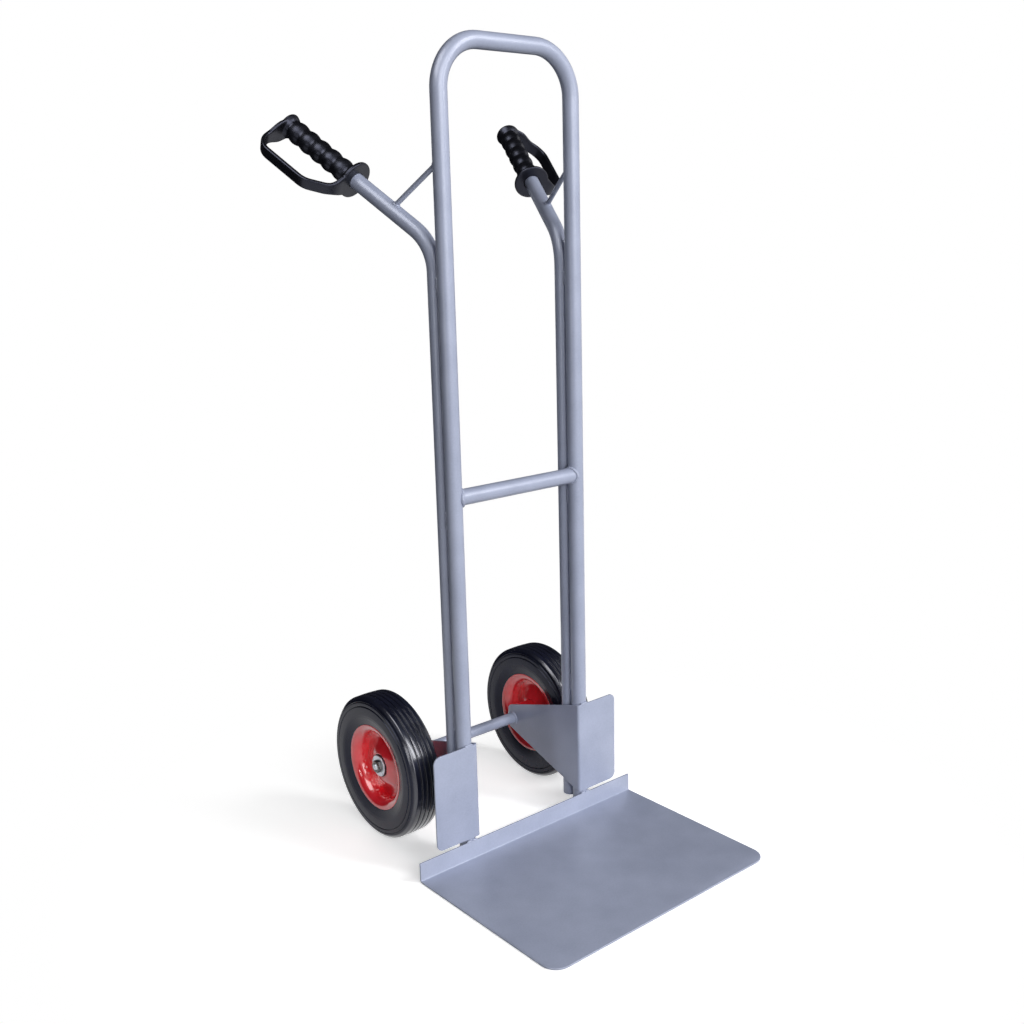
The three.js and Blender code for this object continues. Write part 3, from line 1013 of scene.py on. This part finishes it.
# ---------------------------------------------------------------- sheet metal
@dataclass
class ToePlate:
    """The load plate, folded up at its rear edge."""

    sheet: float = mm(3)
    fold: float = mm(2)  # inside radius
    corner: float = mm(28)
    edge: float = mm(0.7)
    bead: float = mm(2)
    finish: Finish = PAINT

    def build(self, welds: WeldSeams) -> None:
        """Cuts the deck, rounds its corners and folds up its flange.

        Args:
            welds: Takes the beads along the flange.
        """
        box = Box.of("toe_plate")
        front, rear = box.low.y, box.high.y - self.sheet - self.fold
        top = box.low.z + self.sheet
        bm = bmesh.new()
        rectangle(bm, box.size.x, rear - front, Matrix.Translation((0, (front + rear) / 2, top)))
        bevelled(bm, "VERTICES", [v for v in bm.verts if v.co.y < (front + rear) / 2], self.corner, 12)
        fold(bm, Vector((0, rear, top + self.fold)), X, Z * (box.high.z - top - self.fold))
        gauge(bm, Z, self.sheet, self.edge)
        publish(bm, "toe_plate_folded", self.finish, "frame", "toe_plate")
        for side in Side:
            upright = FrameLoop().upright(side).start
            for way in (-1, 1):
                start = Vector((upright.x + way * mm(1), box.high.y, box.high.z))
                welds.straight(start, start + X * way * mm(9), Z, self.bead)


@dataclass
class Bracket:
    """One wheel bracket: a front plate across the upright, folded into a side plate for the axle."""

    side: Side
    sheet: float = mm(3)
    fold: float = mm(5)  # outside radius
    corner: float = mm(12)
    rear_corner: float = mm(7)
    rear_low: float = mm(106)
    rear_high: float = mm(147)
    edge: float = mm(0.6)
    bead: float = mm(2.2)
    axle_bead: float = mm(2.6)
    seams: tuple[tuple[float, float], ...] = ((62, 84), (165, 190))  # heights in millimetres
    finish: Finish = PAINT

    def build(self, axle: Line, welds: WeldSeams) -> None:
        """Cuts, folds and tapers the bracket.

        Args:
            axle: The axle that its side plate holds.
            welds: Takes its beads.
        """
        box = Box.of("wheel_bracket" + self.side.end)
        width, deep, height = box.size
        # It is drawn as the right one, with its fold's outer corner at zero, and then put in its place.
        middle = Matrix.Translation(((width + self.fold) / 2, 0, height / 2))
        bm = bmesh.new()
        rectangle(bm, width - self.fold, height, middle @ Matrix.Rotation(math.pi / 2, 4, "X"))
        outer = [v for v in bm.verts if v.co.x > self.fold + mm(1)]
        rear = fold(bm, Vector((self.fold, self.fold, 0)), -Z, Y * (deep - self.fold))
        for vert in rear:
            vert.co.z = (self.rear_low if vert.co.z < height / 2 else self.rear_high) - box.low.z
        bevelled(bm, "VERTICES", outer, self.corner, 8)
        bevelled(bm, "VERTICES", rear, self.rear_corner, 8)
        gauge(bm, -Y, self.sheet, self.edge)
        inner = box.low.x if self.side is Side.RIGHT else box.high.x
        place = Matrix.Translation((inner, box.low.y, box.low.z)) @ Matrix.Diagonal((self.side.value, 1, 1, 1))
        bmesh.ops.transform(bm, matrix=place, verts=bm.verts)
        if self.side is Side.LEFT:
            bmesh.ops.reverse_faces(bm, faces=bm.faces[:])
        publish(bm, "bracket_folded", self.finish, "frame", "wheel_bracket", self.side.end)
        self.weld(box, inner, axle, welds)

    def weld(self, box: Box, inner: float, axle: Line, welds: WeldSeams) -> None:
        """Lays the bracket's beads.

        Args:
            box: The bracket's box.
            inner: The place of its inner face.
            axle: The axle that it holds.
            welds: Takes the beads.
        """
        out = self.side.value
        upright = FrameLoop().upright(self.side).start
        welds.circle(Vector((inner, axle.start.y, axle.start.z)), axle.radius, self.axle_bead)
        for z, way in ((box.high.z, 1), (box.low.z, -1)):
            start = Vector((upright.x - mm(8), box.low.y + self.sheet, z))
            welds.straight(start, start + X * mm(16), Z * way, self.bead)
        notch = inner + out * self.sheet
        for low, high in self.seams:
            start, end = (Vector((notch + out * mm(0.4), upright.y + mm(5), mm(z))) for z in (low, high))
            welds.straight(start, end, Y, self.bead)


# ---------------------------------------------------------------- axle
@dataclass
class Axle:
    """The welded axle bar, with its threaded ends, washers and nuts."""

    radius: float = mm(10)
    stud: float = mm(6)
    thread: float = mm(1.25)
    thread_depth: float = mm(0.6)
    flats: float = mm(19)
    play: float = mm(0.3)  # round the stud or bar, in a washer or nut
    chamfer: float = mm(0.7)
    finish: Finish = PAINT
    plating: Finish = ZINC

    @property
    def line(self) -> Line:
        """The axle's middle line."""
        return Line(Box.of("axle").middle, X, self.radius)

    def build(self) -> None:
        """Turns the bar and both ends' hardware."""
        hub = Box.of("hub_tube_right").high.x
        about = Vector((0, *self.line.start.yz))
        half = [(hub, self.radius, mm(0.6)), (hub, mm(4))]
        bm = turned([(-x, *rest) for x, *rest in half[::-1]] + half, about, steps=64)
        publish(bm, "axle_bar", self.finish, "frame", "axle")
        for side in Side:
            self.stud_end(side, about, hub, Box.of("axle").high.x)
            for kind, bore in (("thrust_washer", self.radius), ("outer_washer", self.stud)):
                box = Box.of(kind + side.end)
                (low, high), outer, inner = box.span, box.size.z / 2, bore + self.play
                ring = [(low, inner, mm(0.3)), (low, outer, mm(0.8))]
                ring += [(high, outer, mm(0.5)), (high, inner, mm(0.4))]
                bm = turned(ring, about, side.value)
                publish(bm, kind + "_turned", self.plating, "frame", kind, side.end, 50)
            self.nut(side, about)

    def stud_end(self, side: Side, about: Vector, hub: float, end: float) -> None:
        """Threads one end.

        Args:
            side: Which end.
            about: The truck's middle on the axle's line.
            hub: How far out the bar's shoulder lies.
            end: How far out the stud's end lies.
        """
        root = self.stud - self.thread_depth
        last = end - mm(1)
        profile = [(hub - mm(2), 0), (hub - mm(2), root)]
        for turns in range(int((end - hub) / self.thread), 0, -1):
            start = last - turns * self.thread
            profile += [(start, root), (start + self.thread / 2, self.stud)]
        profile += [(last, root), (end, root - mm(0.8)), (end, 0)]
        bm = turned(profile, about, side.value, 48, closed=False)
        publish(bm, "axle_stud", self.plating, "frame", end=side.end, sharp=30)

    def nut(self, side: Side, about: Vector) -> None:
        """Makes one nut, with its corners chamfered.

        Args:
            side: Which end.
            about: The truck's middle on the axle's line.
        """
        low, high = Box.of("axle_nut" + side.end).span
        height, flat, bore = high - low, self.flats / 2, self.stud + self.play
        face = flat - mm(0.3)  # where the chamfer starts
        bm = bmesh.new()
        bmesh.ops.create_circle(bm, segments=6, radius=flat / math.cos(math.pi / 6))
        bmesh.ops.subdivide_edges(bm, edges=bm.edges[:], cuts=7)
        first = rim = bm.edges[:]
        # Each ring of the nut: how high it lies, and its radius, or none where it keeps to the hexagon.
        countersink = [(height, bore + self.chamfer), (height - self.chamfer, bore)]
        for level, radius in [(height, None), (height, face), *countersink, (0, bore)]:
            ring, rim = grow(bm, rim)
            for vert in ring:
                reach = math.hypot(vert.co.x, vert.co.y)
                if radius is None:
                    vert.co.z = level - (reach - face) * 0.5
                else:
                    vert.co = (vert.co.x * radius / reach, vert.co.y * radius / reach, level)
        bmesh.ops.bridge_loops(bm, edges=first + rim)
        settle(bm)
        turn = Matrix.Rotation(math.pi / 2 * side.value, 4, "Y")
        bmesh.ops.transform(bm, matrix=Matrix.Translation(about + X * side.value * low) @ turn, verts=bm.verts)
        # The nut's darker zinc is painted shade.
        publish(bm, "nut_chamfered", NUT_IN_PAINTED_SHADE, "frame", "axle_nut", side.end, 25)


# ---------------------------------------------------------------- wheels
@dataclass
class Wheel:
    """One wheel: a solid rubber tyre on two pressed rims, welded to a hub with a roller bearing."""

    side: Side
    half: float = mm(30)  # half its width
    lip: float = mm(74)
    lip_inset: float = mm(4)
    valley: float = mm(55.5)  # the rim's radius at the foot of its flare
    sheet: float = mm(2.5)
    seat: float = mm(0.3)
    belly: float = mm(1.3)  # how far the disc swells in
    skew: float = mm(0.9)  # how far the swell leans to the valley
    hub_wall: float = mm(2.2)
    crown: float = mm(125)
    crowning: float = mm(0.8)
    groove: float = mm(2.8)
    groove_slope: float = mm(0.9)
    groove_depth: float = mm(2.2)
    grooves: int = 4
    shoulder: float = mm(7)
    dimples: int = 30
    dimple: float = mm(3.4)  # radius
    dimple_depth: float = mm(0.7)
    # The tyre's side, from the rim to the shoulder, in millimetres: how far in, radius and rounding.
    bands: tuple[tuple[float, float, float], ...] = (
        (4.4, 75.1, 0.8), (0.7, 88.5, 5), (0, 93, 3), (0, 106.6, 0.5), (1.5, 107.6, 0.3),
        (0.5, 109, 0.6), (0.8, 113.9, 0.5), (2.2, 114.8, 0.2), (1.4, 116, 0.6), (2.4, 119, 4),
    )
    paint: Finish = ENAMEL

    @property
    def centre(self) -> Vector:
        """The wheel's centre."""
        return Box.of("tyre" + self.side.end).middle

    @property
    def foot(self) -> float:
        """How far out of the wheel's middle the flare's foot lies."""
        return self.seat / 2 + self.sheet

    @property
    def body(self) -> str:
        """The body that turns with the wheel."""
        return "wheel" + self.side.end

    def build(self) -> None:
        """Builds the tyre, both rims, the hub and the bearing."""
        self.tyre()
        for kind, way in (("outer", 1), ("inner", -1)):
            self.rim(kind, way * self.side.value)
        self.hub()
        self.bearing()

    def flare(self, depth: float, steps: int = 24) -> list[tuple[float, float]]:
        """The rim's flare, from its foot to the lip.

        Args:
            depth: How far into the sheet, or past it, the points lie.
            steps: How many steps it takes.

        Returns:
            Places along X with their radii.
        """
        end = self.half - self.lip_inset
        low, knee = Vector((self.foot, self.valley)), Vector((end - self.sheet, self.valley + self.sheet))
        points = []
        for i in range(steps + 1):
            a, b = low.lerp(knee, i / steps), knee.lerp(Vector((end, self.lip)), i / steps)
            slope = (b - a).normalized()
            point = a.lerp(b, i / steps)
            points.append((point.x - slope.y * depth, point.y + slope.x * depth))
        return points

    def tread(self, x: float) -> float:
        """The radius of the tread's crowned face, at a place along X."""
        return self.crown - self.crowning * (x / (self.half - self.shoulder)) ** 2

    def tyre(self) -> None:
        """Turns the tyre, with its side bands and tread ribs."""
        end = self.half - self.shoulder
        side = [*self.flare(self.sheet + self.seat)[5:-1]]
        side += [(self.half - mm(inset), mm(radius), mm(rounding)) for inset, radius, rounding in self.bands]
        side += [(end, self.tread(end), mm(3))]
        ribs = []
        span = 2 * end / (self.grooves + 1)
        wide, narrow = self.groove / 2, self.groove / 2 - self.groove_slope
        for number in range(self.grooves):
            middle = end - (number + 1) * span
            edges = [(middle + wide, 0, mm(0.6)), (middle + narrow, self.groove_depth, mm(0.5))]
            edges += [(middle - narrow, self.groove_depth, mm(0.5)), (middle - wide, 0, mm(0.6))]
            ribs += [(x, self.tread(x) - sunk, rounding) for x, sunk, rounding in edges]
            ribs += [(middle - span / 2, self.tread(middle - span / 2))] * (number < self.grooves - 1)
        mirrored = [(-x, *rest) for x, *rest in side[::-1]]
        bm = turned([*side, *ribs, *mirrored], self.centre, self.side.value, 144)
        name = f"Solid rubber, turned mould, {self.side.name.lower()}"
        rubber = MouldedRubber(name, "tyre_rubber", centre=tuple(self.centre))
        publish(bm, "tyre_solid", rubber, self.body, "tyre", self.side.end, 50)

    def rim(self, kind: str, out: int) -> None:
        """Presses one rim from sheet.

        Args:
            kind: Which rim.
            out: The way along X that it faces.
        """
        box = Box.of("hub_tube" + self.side.end)
        hole, face = box.size.z / 2 + self.seat, box.span[1] - abs(self.centre.x)
        disc = []
        for t in (i / 12 for i in range(12)):
            swell = self.belly * math.sin(math.pi * t) - self.skew * math.sin(2 * math.pi * t)
            disc.append((face + (self.foot - face) * t - swell, hole + (self.valley - hole) * t))
        end = self.half - self.lip_inset
        lip = [(end - mm(0.3), self.lip + mm(0.55)), (end - mm(1.6), self.lip + mm(0.9))]
        inside = [*self.flare(self.sheet)[:0:-1], (self.seat / 2, self.valley + self.sheet / 2)]
        inside += [(x - self.sheet, radius) for x, radius in disc[::-1]]
        bm = turned([*disc, *self.flare(0.0), *lip, *inside], self.centre, out, 288)
        self.press_dimples(bm, out)
        publish(bm, f"rim_{kind}_pressed", self.paint, self.body, "rim_" + kind, self.side.end, 50)

    def press_dimples(self, bm: BMesh, out: int) -> None:
        """Presses the small dimples of the rim's crimping, round the foot of its flare.

        Args:
            bm: The rim's mesh.
            out: The way along X that it faces.
        """
        ring_x, ring_radius = self.flare(0.0)[5]
        pitch = 2 * math.pi / self.dimples
        centre = self.centre
        for vert in bm.verts:
            place = vert.co - centre
            radius = math.hypot(place.y, place.z)
            turn = math.remainder(math.atan2(place.z, place.y), pitch)
            away = Vector((place.x * out - ring_x, radius - ring_radius, turn * ring_radius))
            off = away.length / self.dimple
            if off < 1:
                pushed = 1 + self.dimple_depth * (1 - off * off) ** 2 / radius
                vert.co = centre + Vector((place.x, place.y * pushed, place.z * pushed))

    def hub(self) -> None:
        """Turns the hub tube."""
        box = Box.of("hub_tube" + self.side.end)
        (low, high), outer = box.span, box.size.z / 2
        inner = outer - self.hub_wall
        ring = [(low, inner, mm(0.3)), (low, outer, mm(0.6)), (high, outer, mm(0.6)), (high, inner, mm(0.3))]
        bm = turned(ring, Vector((0, *box.middle.yz)), self.side.value)
        publish(bm, "hub_turned", self.paint, self.body, "hub_tube", self.side.end, 50)

    def bearing(self) -> None:
        """Grinds the eight rollers, and gives their cage its nylon."""
        for number in range(1, 9):
            end = f"{self.side.end}_{number}"
            roller = Box.of("roller" + end)
            half, radius = roller.size.x / 2, min(roller.size.yz) / 2
            profile = [(-half, 0), (-half, radius, mm(0.6)), (half, radius, mm(0.6)), (half, 0)]
            bm = turned(profile, roller.middle, steps=24, closed=False)
            publish(bm, "roller_ground", ROLLER, "cage" + self.side.end, "roller", end)
        cage = bpy.data.objects["roller_cage" + self.side.end].data
        cage.materials.clear()
        cage.materials.append(NYLON.material())


# ---------------------------------------------------------------- grips
@dataclass
class Grip:
    """One moulded grip: ribs under the fingers, a flange, and a guard over the knuckles."""

    handle: Handle
    bore: float = mm(12.8)
    depth: float = mm(143)
    length: float = mm(155)
    valley: float = mm(15)  # the body's radius between its ribs
    rib: float = mm(2.7)
    ribs: int = 5
    pitch: float = mm(24.5)
    first: float = mm(30)
    cap: float = mm(21)
    flange: float = mm(30)
    flange_thickness: float = mm(7)
    reach: float = mm(76)
    thickness: float = mm(7)
    width: float = mm(19.5)
    root: float = mm(36)  # the guard's width where it leaves the flange and the cap
    bend: float = mm(32)
    slant: float = mm(28)
    tilt: float = math.radians(25)
    voxel: float = mm(0.9)
    finish: Finish = POLYMER

    def place(self) -> Matrix:
        """Works out where the grip stands.

        Returns:
            The frame that it is built in: X along the bore, Y towards the guard.
        """
        side = self.handle.side.value
        heading = self.handle.heading
        level = Vector((side * math.cos(self.handle.splay), -math.sin(self.handle.splay), 0))
        down = (heading.cross(level) * side).normalized()
        outward = level * math.cos(self.tilt) + down * math.sin(self.tilt)
        origin = self.handle.along(self.handle.reach + mm(0.3) - self.depth)
        turn = Matrix((heading, outward, heading.cross(outward))).transposed().to_4x4()
        return Matrix.Translation(origin) @ turn

    def body(self) -> BMesh:
        """Turns the ribbed body with its flange, cap and bore.

        Returns:
            The body.
        """
        outside = [(0, self.flange, mm(2)), (self.flange_thickness - mm(1), self.flange, mm(2.5))]
        outside += [(self.flange_thickness + mm(2), mm(19), mm(4))]
        outside += [(self.flange_thickness + mm(9), self.valley)]
        steps = 12
        last = self.first + (self.ribs - 0.5) * self.pitch
        for i in range(self.ribs * steps + 1):
            x = self.first - self.pitch / 2 + self.pitch * i / steps
            hump = (0.5 - 0.5 * math.cos(2 * math.pi * i / steps)) ** 0.65
            outside.append((x, self.valley + self.rib * hump))
        outside += [(last + mm(5), self.valley + mm(3), mm(4)), (self.length - mm(2.5), self.cap, mm(2.4))]
        outside += [(self.length, self.cap - mm(5), mm(5)), (self.length, 0)]
        inside = [(self.depth, 0), (self.depth, self.bore), (0, self.bore)]
        return turned([*outside, *inside], Vector(), steps=72)

    def guard(self) -> BMesh:
        """Sweeps the knuckle guard, wide where it leaves the flange and the cap.

        Returns:
            The guard.
        """
        half = self.thickness / 2
        far, out = self.length - mm(2) - half, self.reach - half
        bends = [self.bend - half, self.bend, self.bend - half]
        corners = [(half, mm(18)), (half, out + half / 2 - self.slant), (self.slant + mm(11), out)]
        corners += [(far - mm(4), out), (far, mm(8))]
        frames = route([Vector((*corner, 0)) for corner in corners], bends, X, 6)
        sized = []
        for before, after in zip(frames, frames[1:] + frames[-1:]):
            steps = max(1, math.ceil((after.translation - before.translation).length / mm(5)))
            for i in range(steps):
                place = before.copy()
                place.translation = before.translation.lerp(after.translation, i / steps)
                near = min(max((mm(50) - place.translation.y) / mm(30), 0.0), 1.0)
                swell = 1 + near * near * (3 - 2 * near) * (self.root / self.width - 1)
                sized.append(place @ Matrix.Diagonal((swell, 1, 1, 1)))
        return swept(sized, bar(self.width, self.thickness, mm(2.6)), capped=True)

    def build(self) -> None:
        """Melts the body and guard into one moulding, and softens where they meet."""
        whole = bmesh.new()
        for part in (self.body(), self.guard()):
            join(whole, part)
        mesh = meshed(whole, "grip_parts")
        draft = stand("grip_draft", mesh)
        remesh = draft.modifiers.new("Remesh", "REMESH")
        remesh.mode = "VOXEL"
        remesh.voxel_size = self.voxel
        bm = bmesh.new()
        bm.from_mesh(draft.evaluated_get(bpy.context.evaluated_depsgraph_get()).to_mesh())
        bpy.data.objects.remove(draft)
        bpy.data.meshes.remove(mesh)
        for _ in range(6):
            bmesh.ops.smooth_vert(
                bm, verts=bm.verts, factor=0.5, use_axis_x=True, use_axis_y=True, use_axis_z=True
            )
        bmesh.ops.transform(bm, matrix=self.place(), verts=bm.verts)
        publish(bm, "grip_moulded", self.finish, "frame", "grip", self.handle.side.end, 80)


# ---------------------------------------------------------------- studio
@dataclass(frozen=True)
class Lamp:
    """One soft lamp: where it hangs, what it points at, its face's width and height, and its power.

    Diffuse and glossy say whether matt surfaces and gloss take its light.
    """

    name: str
    place: Place
    target: Place
    size: tuple[float, float]
    power: float
    diffuse: bool = True
    glossy: bool = True

    def build(self) -> None:
        """Hangs the lamp."""
        lamp = bpy.data.lights.new(self.name, "AREA")
        lamp.shape = "RECTANGLE"
        lamp.size, lamp.size_y = self.size
        lamp.energy = self.power
        piece = stand(self.name, lamp)
        turn = (Vector(self.target) - Vector(self.place)).to_track_quat("-Z", "Y").to_matrix().to_4x4()
        piece.matrix_world = Matrix.Translation(self.place) @ turn
        piece.visible_diffuse = self.diffuse
        piece.visible_glossy = self.glossy


@dataclass
class Studio:
    """A white floor, soft lamps, and dark cloth behind, beside and above that only gloss shows."""

    ambient: float = 0.02
    floor: float = -mm(0.4)
    floor_glow: float = 0.47  # what the floor adds for the eye, so that it is white where nothing shades it
    near: float = 0.36  # how far from the truck's middle the floor takes its full shade
    far: float = 0.8  # how far out it is plain white
    lamps: tuple[Lamp, ...] = (
        Lamp("key_light", (-0.95, -6.0, 2.7), (0, 0, 0.5), (4.9, 4.2), 350.0),
        Lamp("window_light", (2.63, -4.05, 3.3), (-0.1, 0.1, 0.4), (1.5, 3.4), 185.0),
        Lamp("grip_light", (-2.1, -0.28, 3.2), (-0.2, 0.2, 1.1), (2.4, 2.4), 105.0, diffuse=False),
        Lamp("back_light", (0.5, 5.2, 1.4), (0, 0, 0.6), (4.0, 2.2), 150.0, glossy=False),
        Lamp("rim_light", (-2.6, -0.7, 0.65), (-0.2, 0.2, 0.1), (0.35, 0.7), 7.5),
    )

    def build(self) -> None:
        """Lays the floor, lights the world, and hangs the lamps and the cloths."""
        self.spread("floor", self.white(), Matrix.Translation((0, 0, self.floor)), 16, 16)
        self.light_world()
        for lamp in self.lamps:
            lamp.build()
        cloth = self.black()
        upright = Matrix.Rotation(math.pi / 2, 4, "X")
        sideways = Matrix.Rotation(math.pi / 2, 4, "Z") @ upright
        for name, place, width, height in (
            ("cloth_behind", Matrix.Translation((0.6, 1.0, 2.1)) @ upright, 6.8, 4.2),
            ("cloth_left", Matrix.Translation((-2.8, -0.8, 2.1)) @ sideways, 3.6, 4.2),
            ("cloth_above", Matrix.Translation((0.6, -0.8, 4.2)), 6.8, 3.6),
        ):
            screen = self.spread(name, cloth, place, width, height)
            screen.visible_camera = screen.visible_diffuse = screen.visible_shadow = False

    def spread(
        self, name: str, material: bpy.types.Material, place: Matrix, width: float, length: float
    ) -> bpy.types.Object:
        """Spreads a flat piece of the studio.

        Args:
            name: Its name.
            material: Its material.
            place: Where its middle lies, with its face across Z.
            width: Its extent along X.
            length: Its extent along Y.

        Returns:
            The piece.
        """
        bm = bmesh.new()
        rectangle(bm, width, length, place)
        piece = stand(name, meshed(bm, name, material))
        return piece

    def seen(self, graph: Graph) -> Socket:
        """Whether a ray comes from the eye, straight or by way of gloss or glass.

        Args:
            graph: The graph that asks.

        Returns:
            One where it does, and zero where it doesn't.
        """
        rays = (f"Is {kind} Ray" for kind in ("Camera", "Glossy", "Transmission"))
        eye, gloss, glass = (graph.add("LightPath", out=ray) for ray in rays)
        either = graph.add("Math", {0: eye, 1: gloss}, operation="MAXIMUM")
        return graph.add("Math", {0: either, 1: glass}, operation="MAXIMUM")

    def white(self) -> bpy.types.Material:
        """Makes the floor's material, white where nothing shades it.

        Returns:
            The material.
        """
        material = bpy.data.materials.new("White studio floor, matt")
        graph = Graph(material)
        away = graph.add("VectorMath", {0: graph.add("TexCoord", out="Object")}, "Value", operation="LENGTH")
        limits = {"Value": away, 1: self.near, 2: self.far}
        far = graph.add("MapRange", limits, interpolation_type="SMOOTHSTEP")
        matt = graph.add("BsdfDiffuse", {"Color": linear("#ffffff")})
        dull = graph.add("BsdfDiffuse", {"Color": linear("#545454")})
        glow = graph.add("Emission", {"Color": linear("#ffffff"), "Strength": self.floor_glow})
        plain = graph.add("Emission", {"Color": linear("#ffffff"), "Strength": 1.0})
        shown = graph.add("MixShader", {0: far, 1: graph.add("AddShader", {0: matt, 1: glow}), 2: plain})
        surface = graph.add("MixShader", {0: self.seen(graph), 1: dull, 2: shown})
        graph.add("OutputMaterial", {"Surface": surface})
        return material

    def black(self) -> bpy.types.Material:
        """Makes the cloths' material, which darkens what gloss mirrors at the tubes' edges and the deck.

        Returns:
            The material.
        """
        material = bpy.data.materials.new("Black studio cloth, matt")
        graph = Graph(material)
        graph.add("OutputMaterial", {"Surface": graph.add("BsdfDiffuse", {"Color": linear("#2a2a30")})})
        return material

    def light_world(self) -> None:
        """Lights the world: white where it is seen or mirrored, and softer as a light."""
        world = bpy.data.worlds.new("studio")
        graph = Graph(world)
        strength = graph.add("MapRange", {"Value": self.seen(graph), 3: self.ambient, 4: 1.0})
        light = graph.add("Background", {"Color": linear("#ffffff"), "Strength": strength})
        graph.add("OutputWorld", {"Surface": light})
        bpy.context.scene.world = world


@dataclass
class Viewpoint:
    """The camera."""

    place: Place = (-1.17196, -1.38693, 1.00361)
    azimuth: float = math.radians(-39.42)
    elevation: float = math.radians(13.35)
    roll: float = math.radians(-1.54)
    lens: float = 40.80  # in millimetres, as is the sensor
    sensor: float = 36

    def build(self) -> None:
        """Sets up the camera."""
        level = math.cos(self.elevation)
        east, north = math.cos(self.azimuth), math.sin(self.azimuth)
        back = Vector((north * level, -east * level, math.sin(self.elevation)))
        right = Vector((east, north, 0))
        turn = Matrix((right, back.cross(right), back)).transposed().to_4x4()
        camera = bpy.data.cameras.new("camera")
        camera.lens, camera.sensor_width = self.lens, self.sensor
        piece = stand("camera", camera)
        piece.matrix_world = Matrix.Translation(self.place) @ turn @ Matrix.Rotation(self.roll, 4, "Z")
        bpy.context.scene.camera = piece


# ---------------------------------------------------------------- assembly
def main() -> None:
    """Builds the truck and its studio, and reports each piece."""
    logging.basicConfig(level=logging.INFO, format="%(message)s")
    Viewpoint().build()
    Studio().build()
    welds = WeldSeams()
    loop = FrameLoop()
    axle = Axle()
    loop.build(welds)
    ToePlate().build(welds)
    axle.build()
    for side in Side:
        handle = Handle(side)
        handle.build(loop.upright(side), welds)
        Bracket(side).build(axle.line, welds)
        Grip(handle).build()
        Wheel(side).build()
    welds.build()
    bpy.context.scene.view_settings.view_transform = "Standard"


if __name__ == "__main__":
    main()
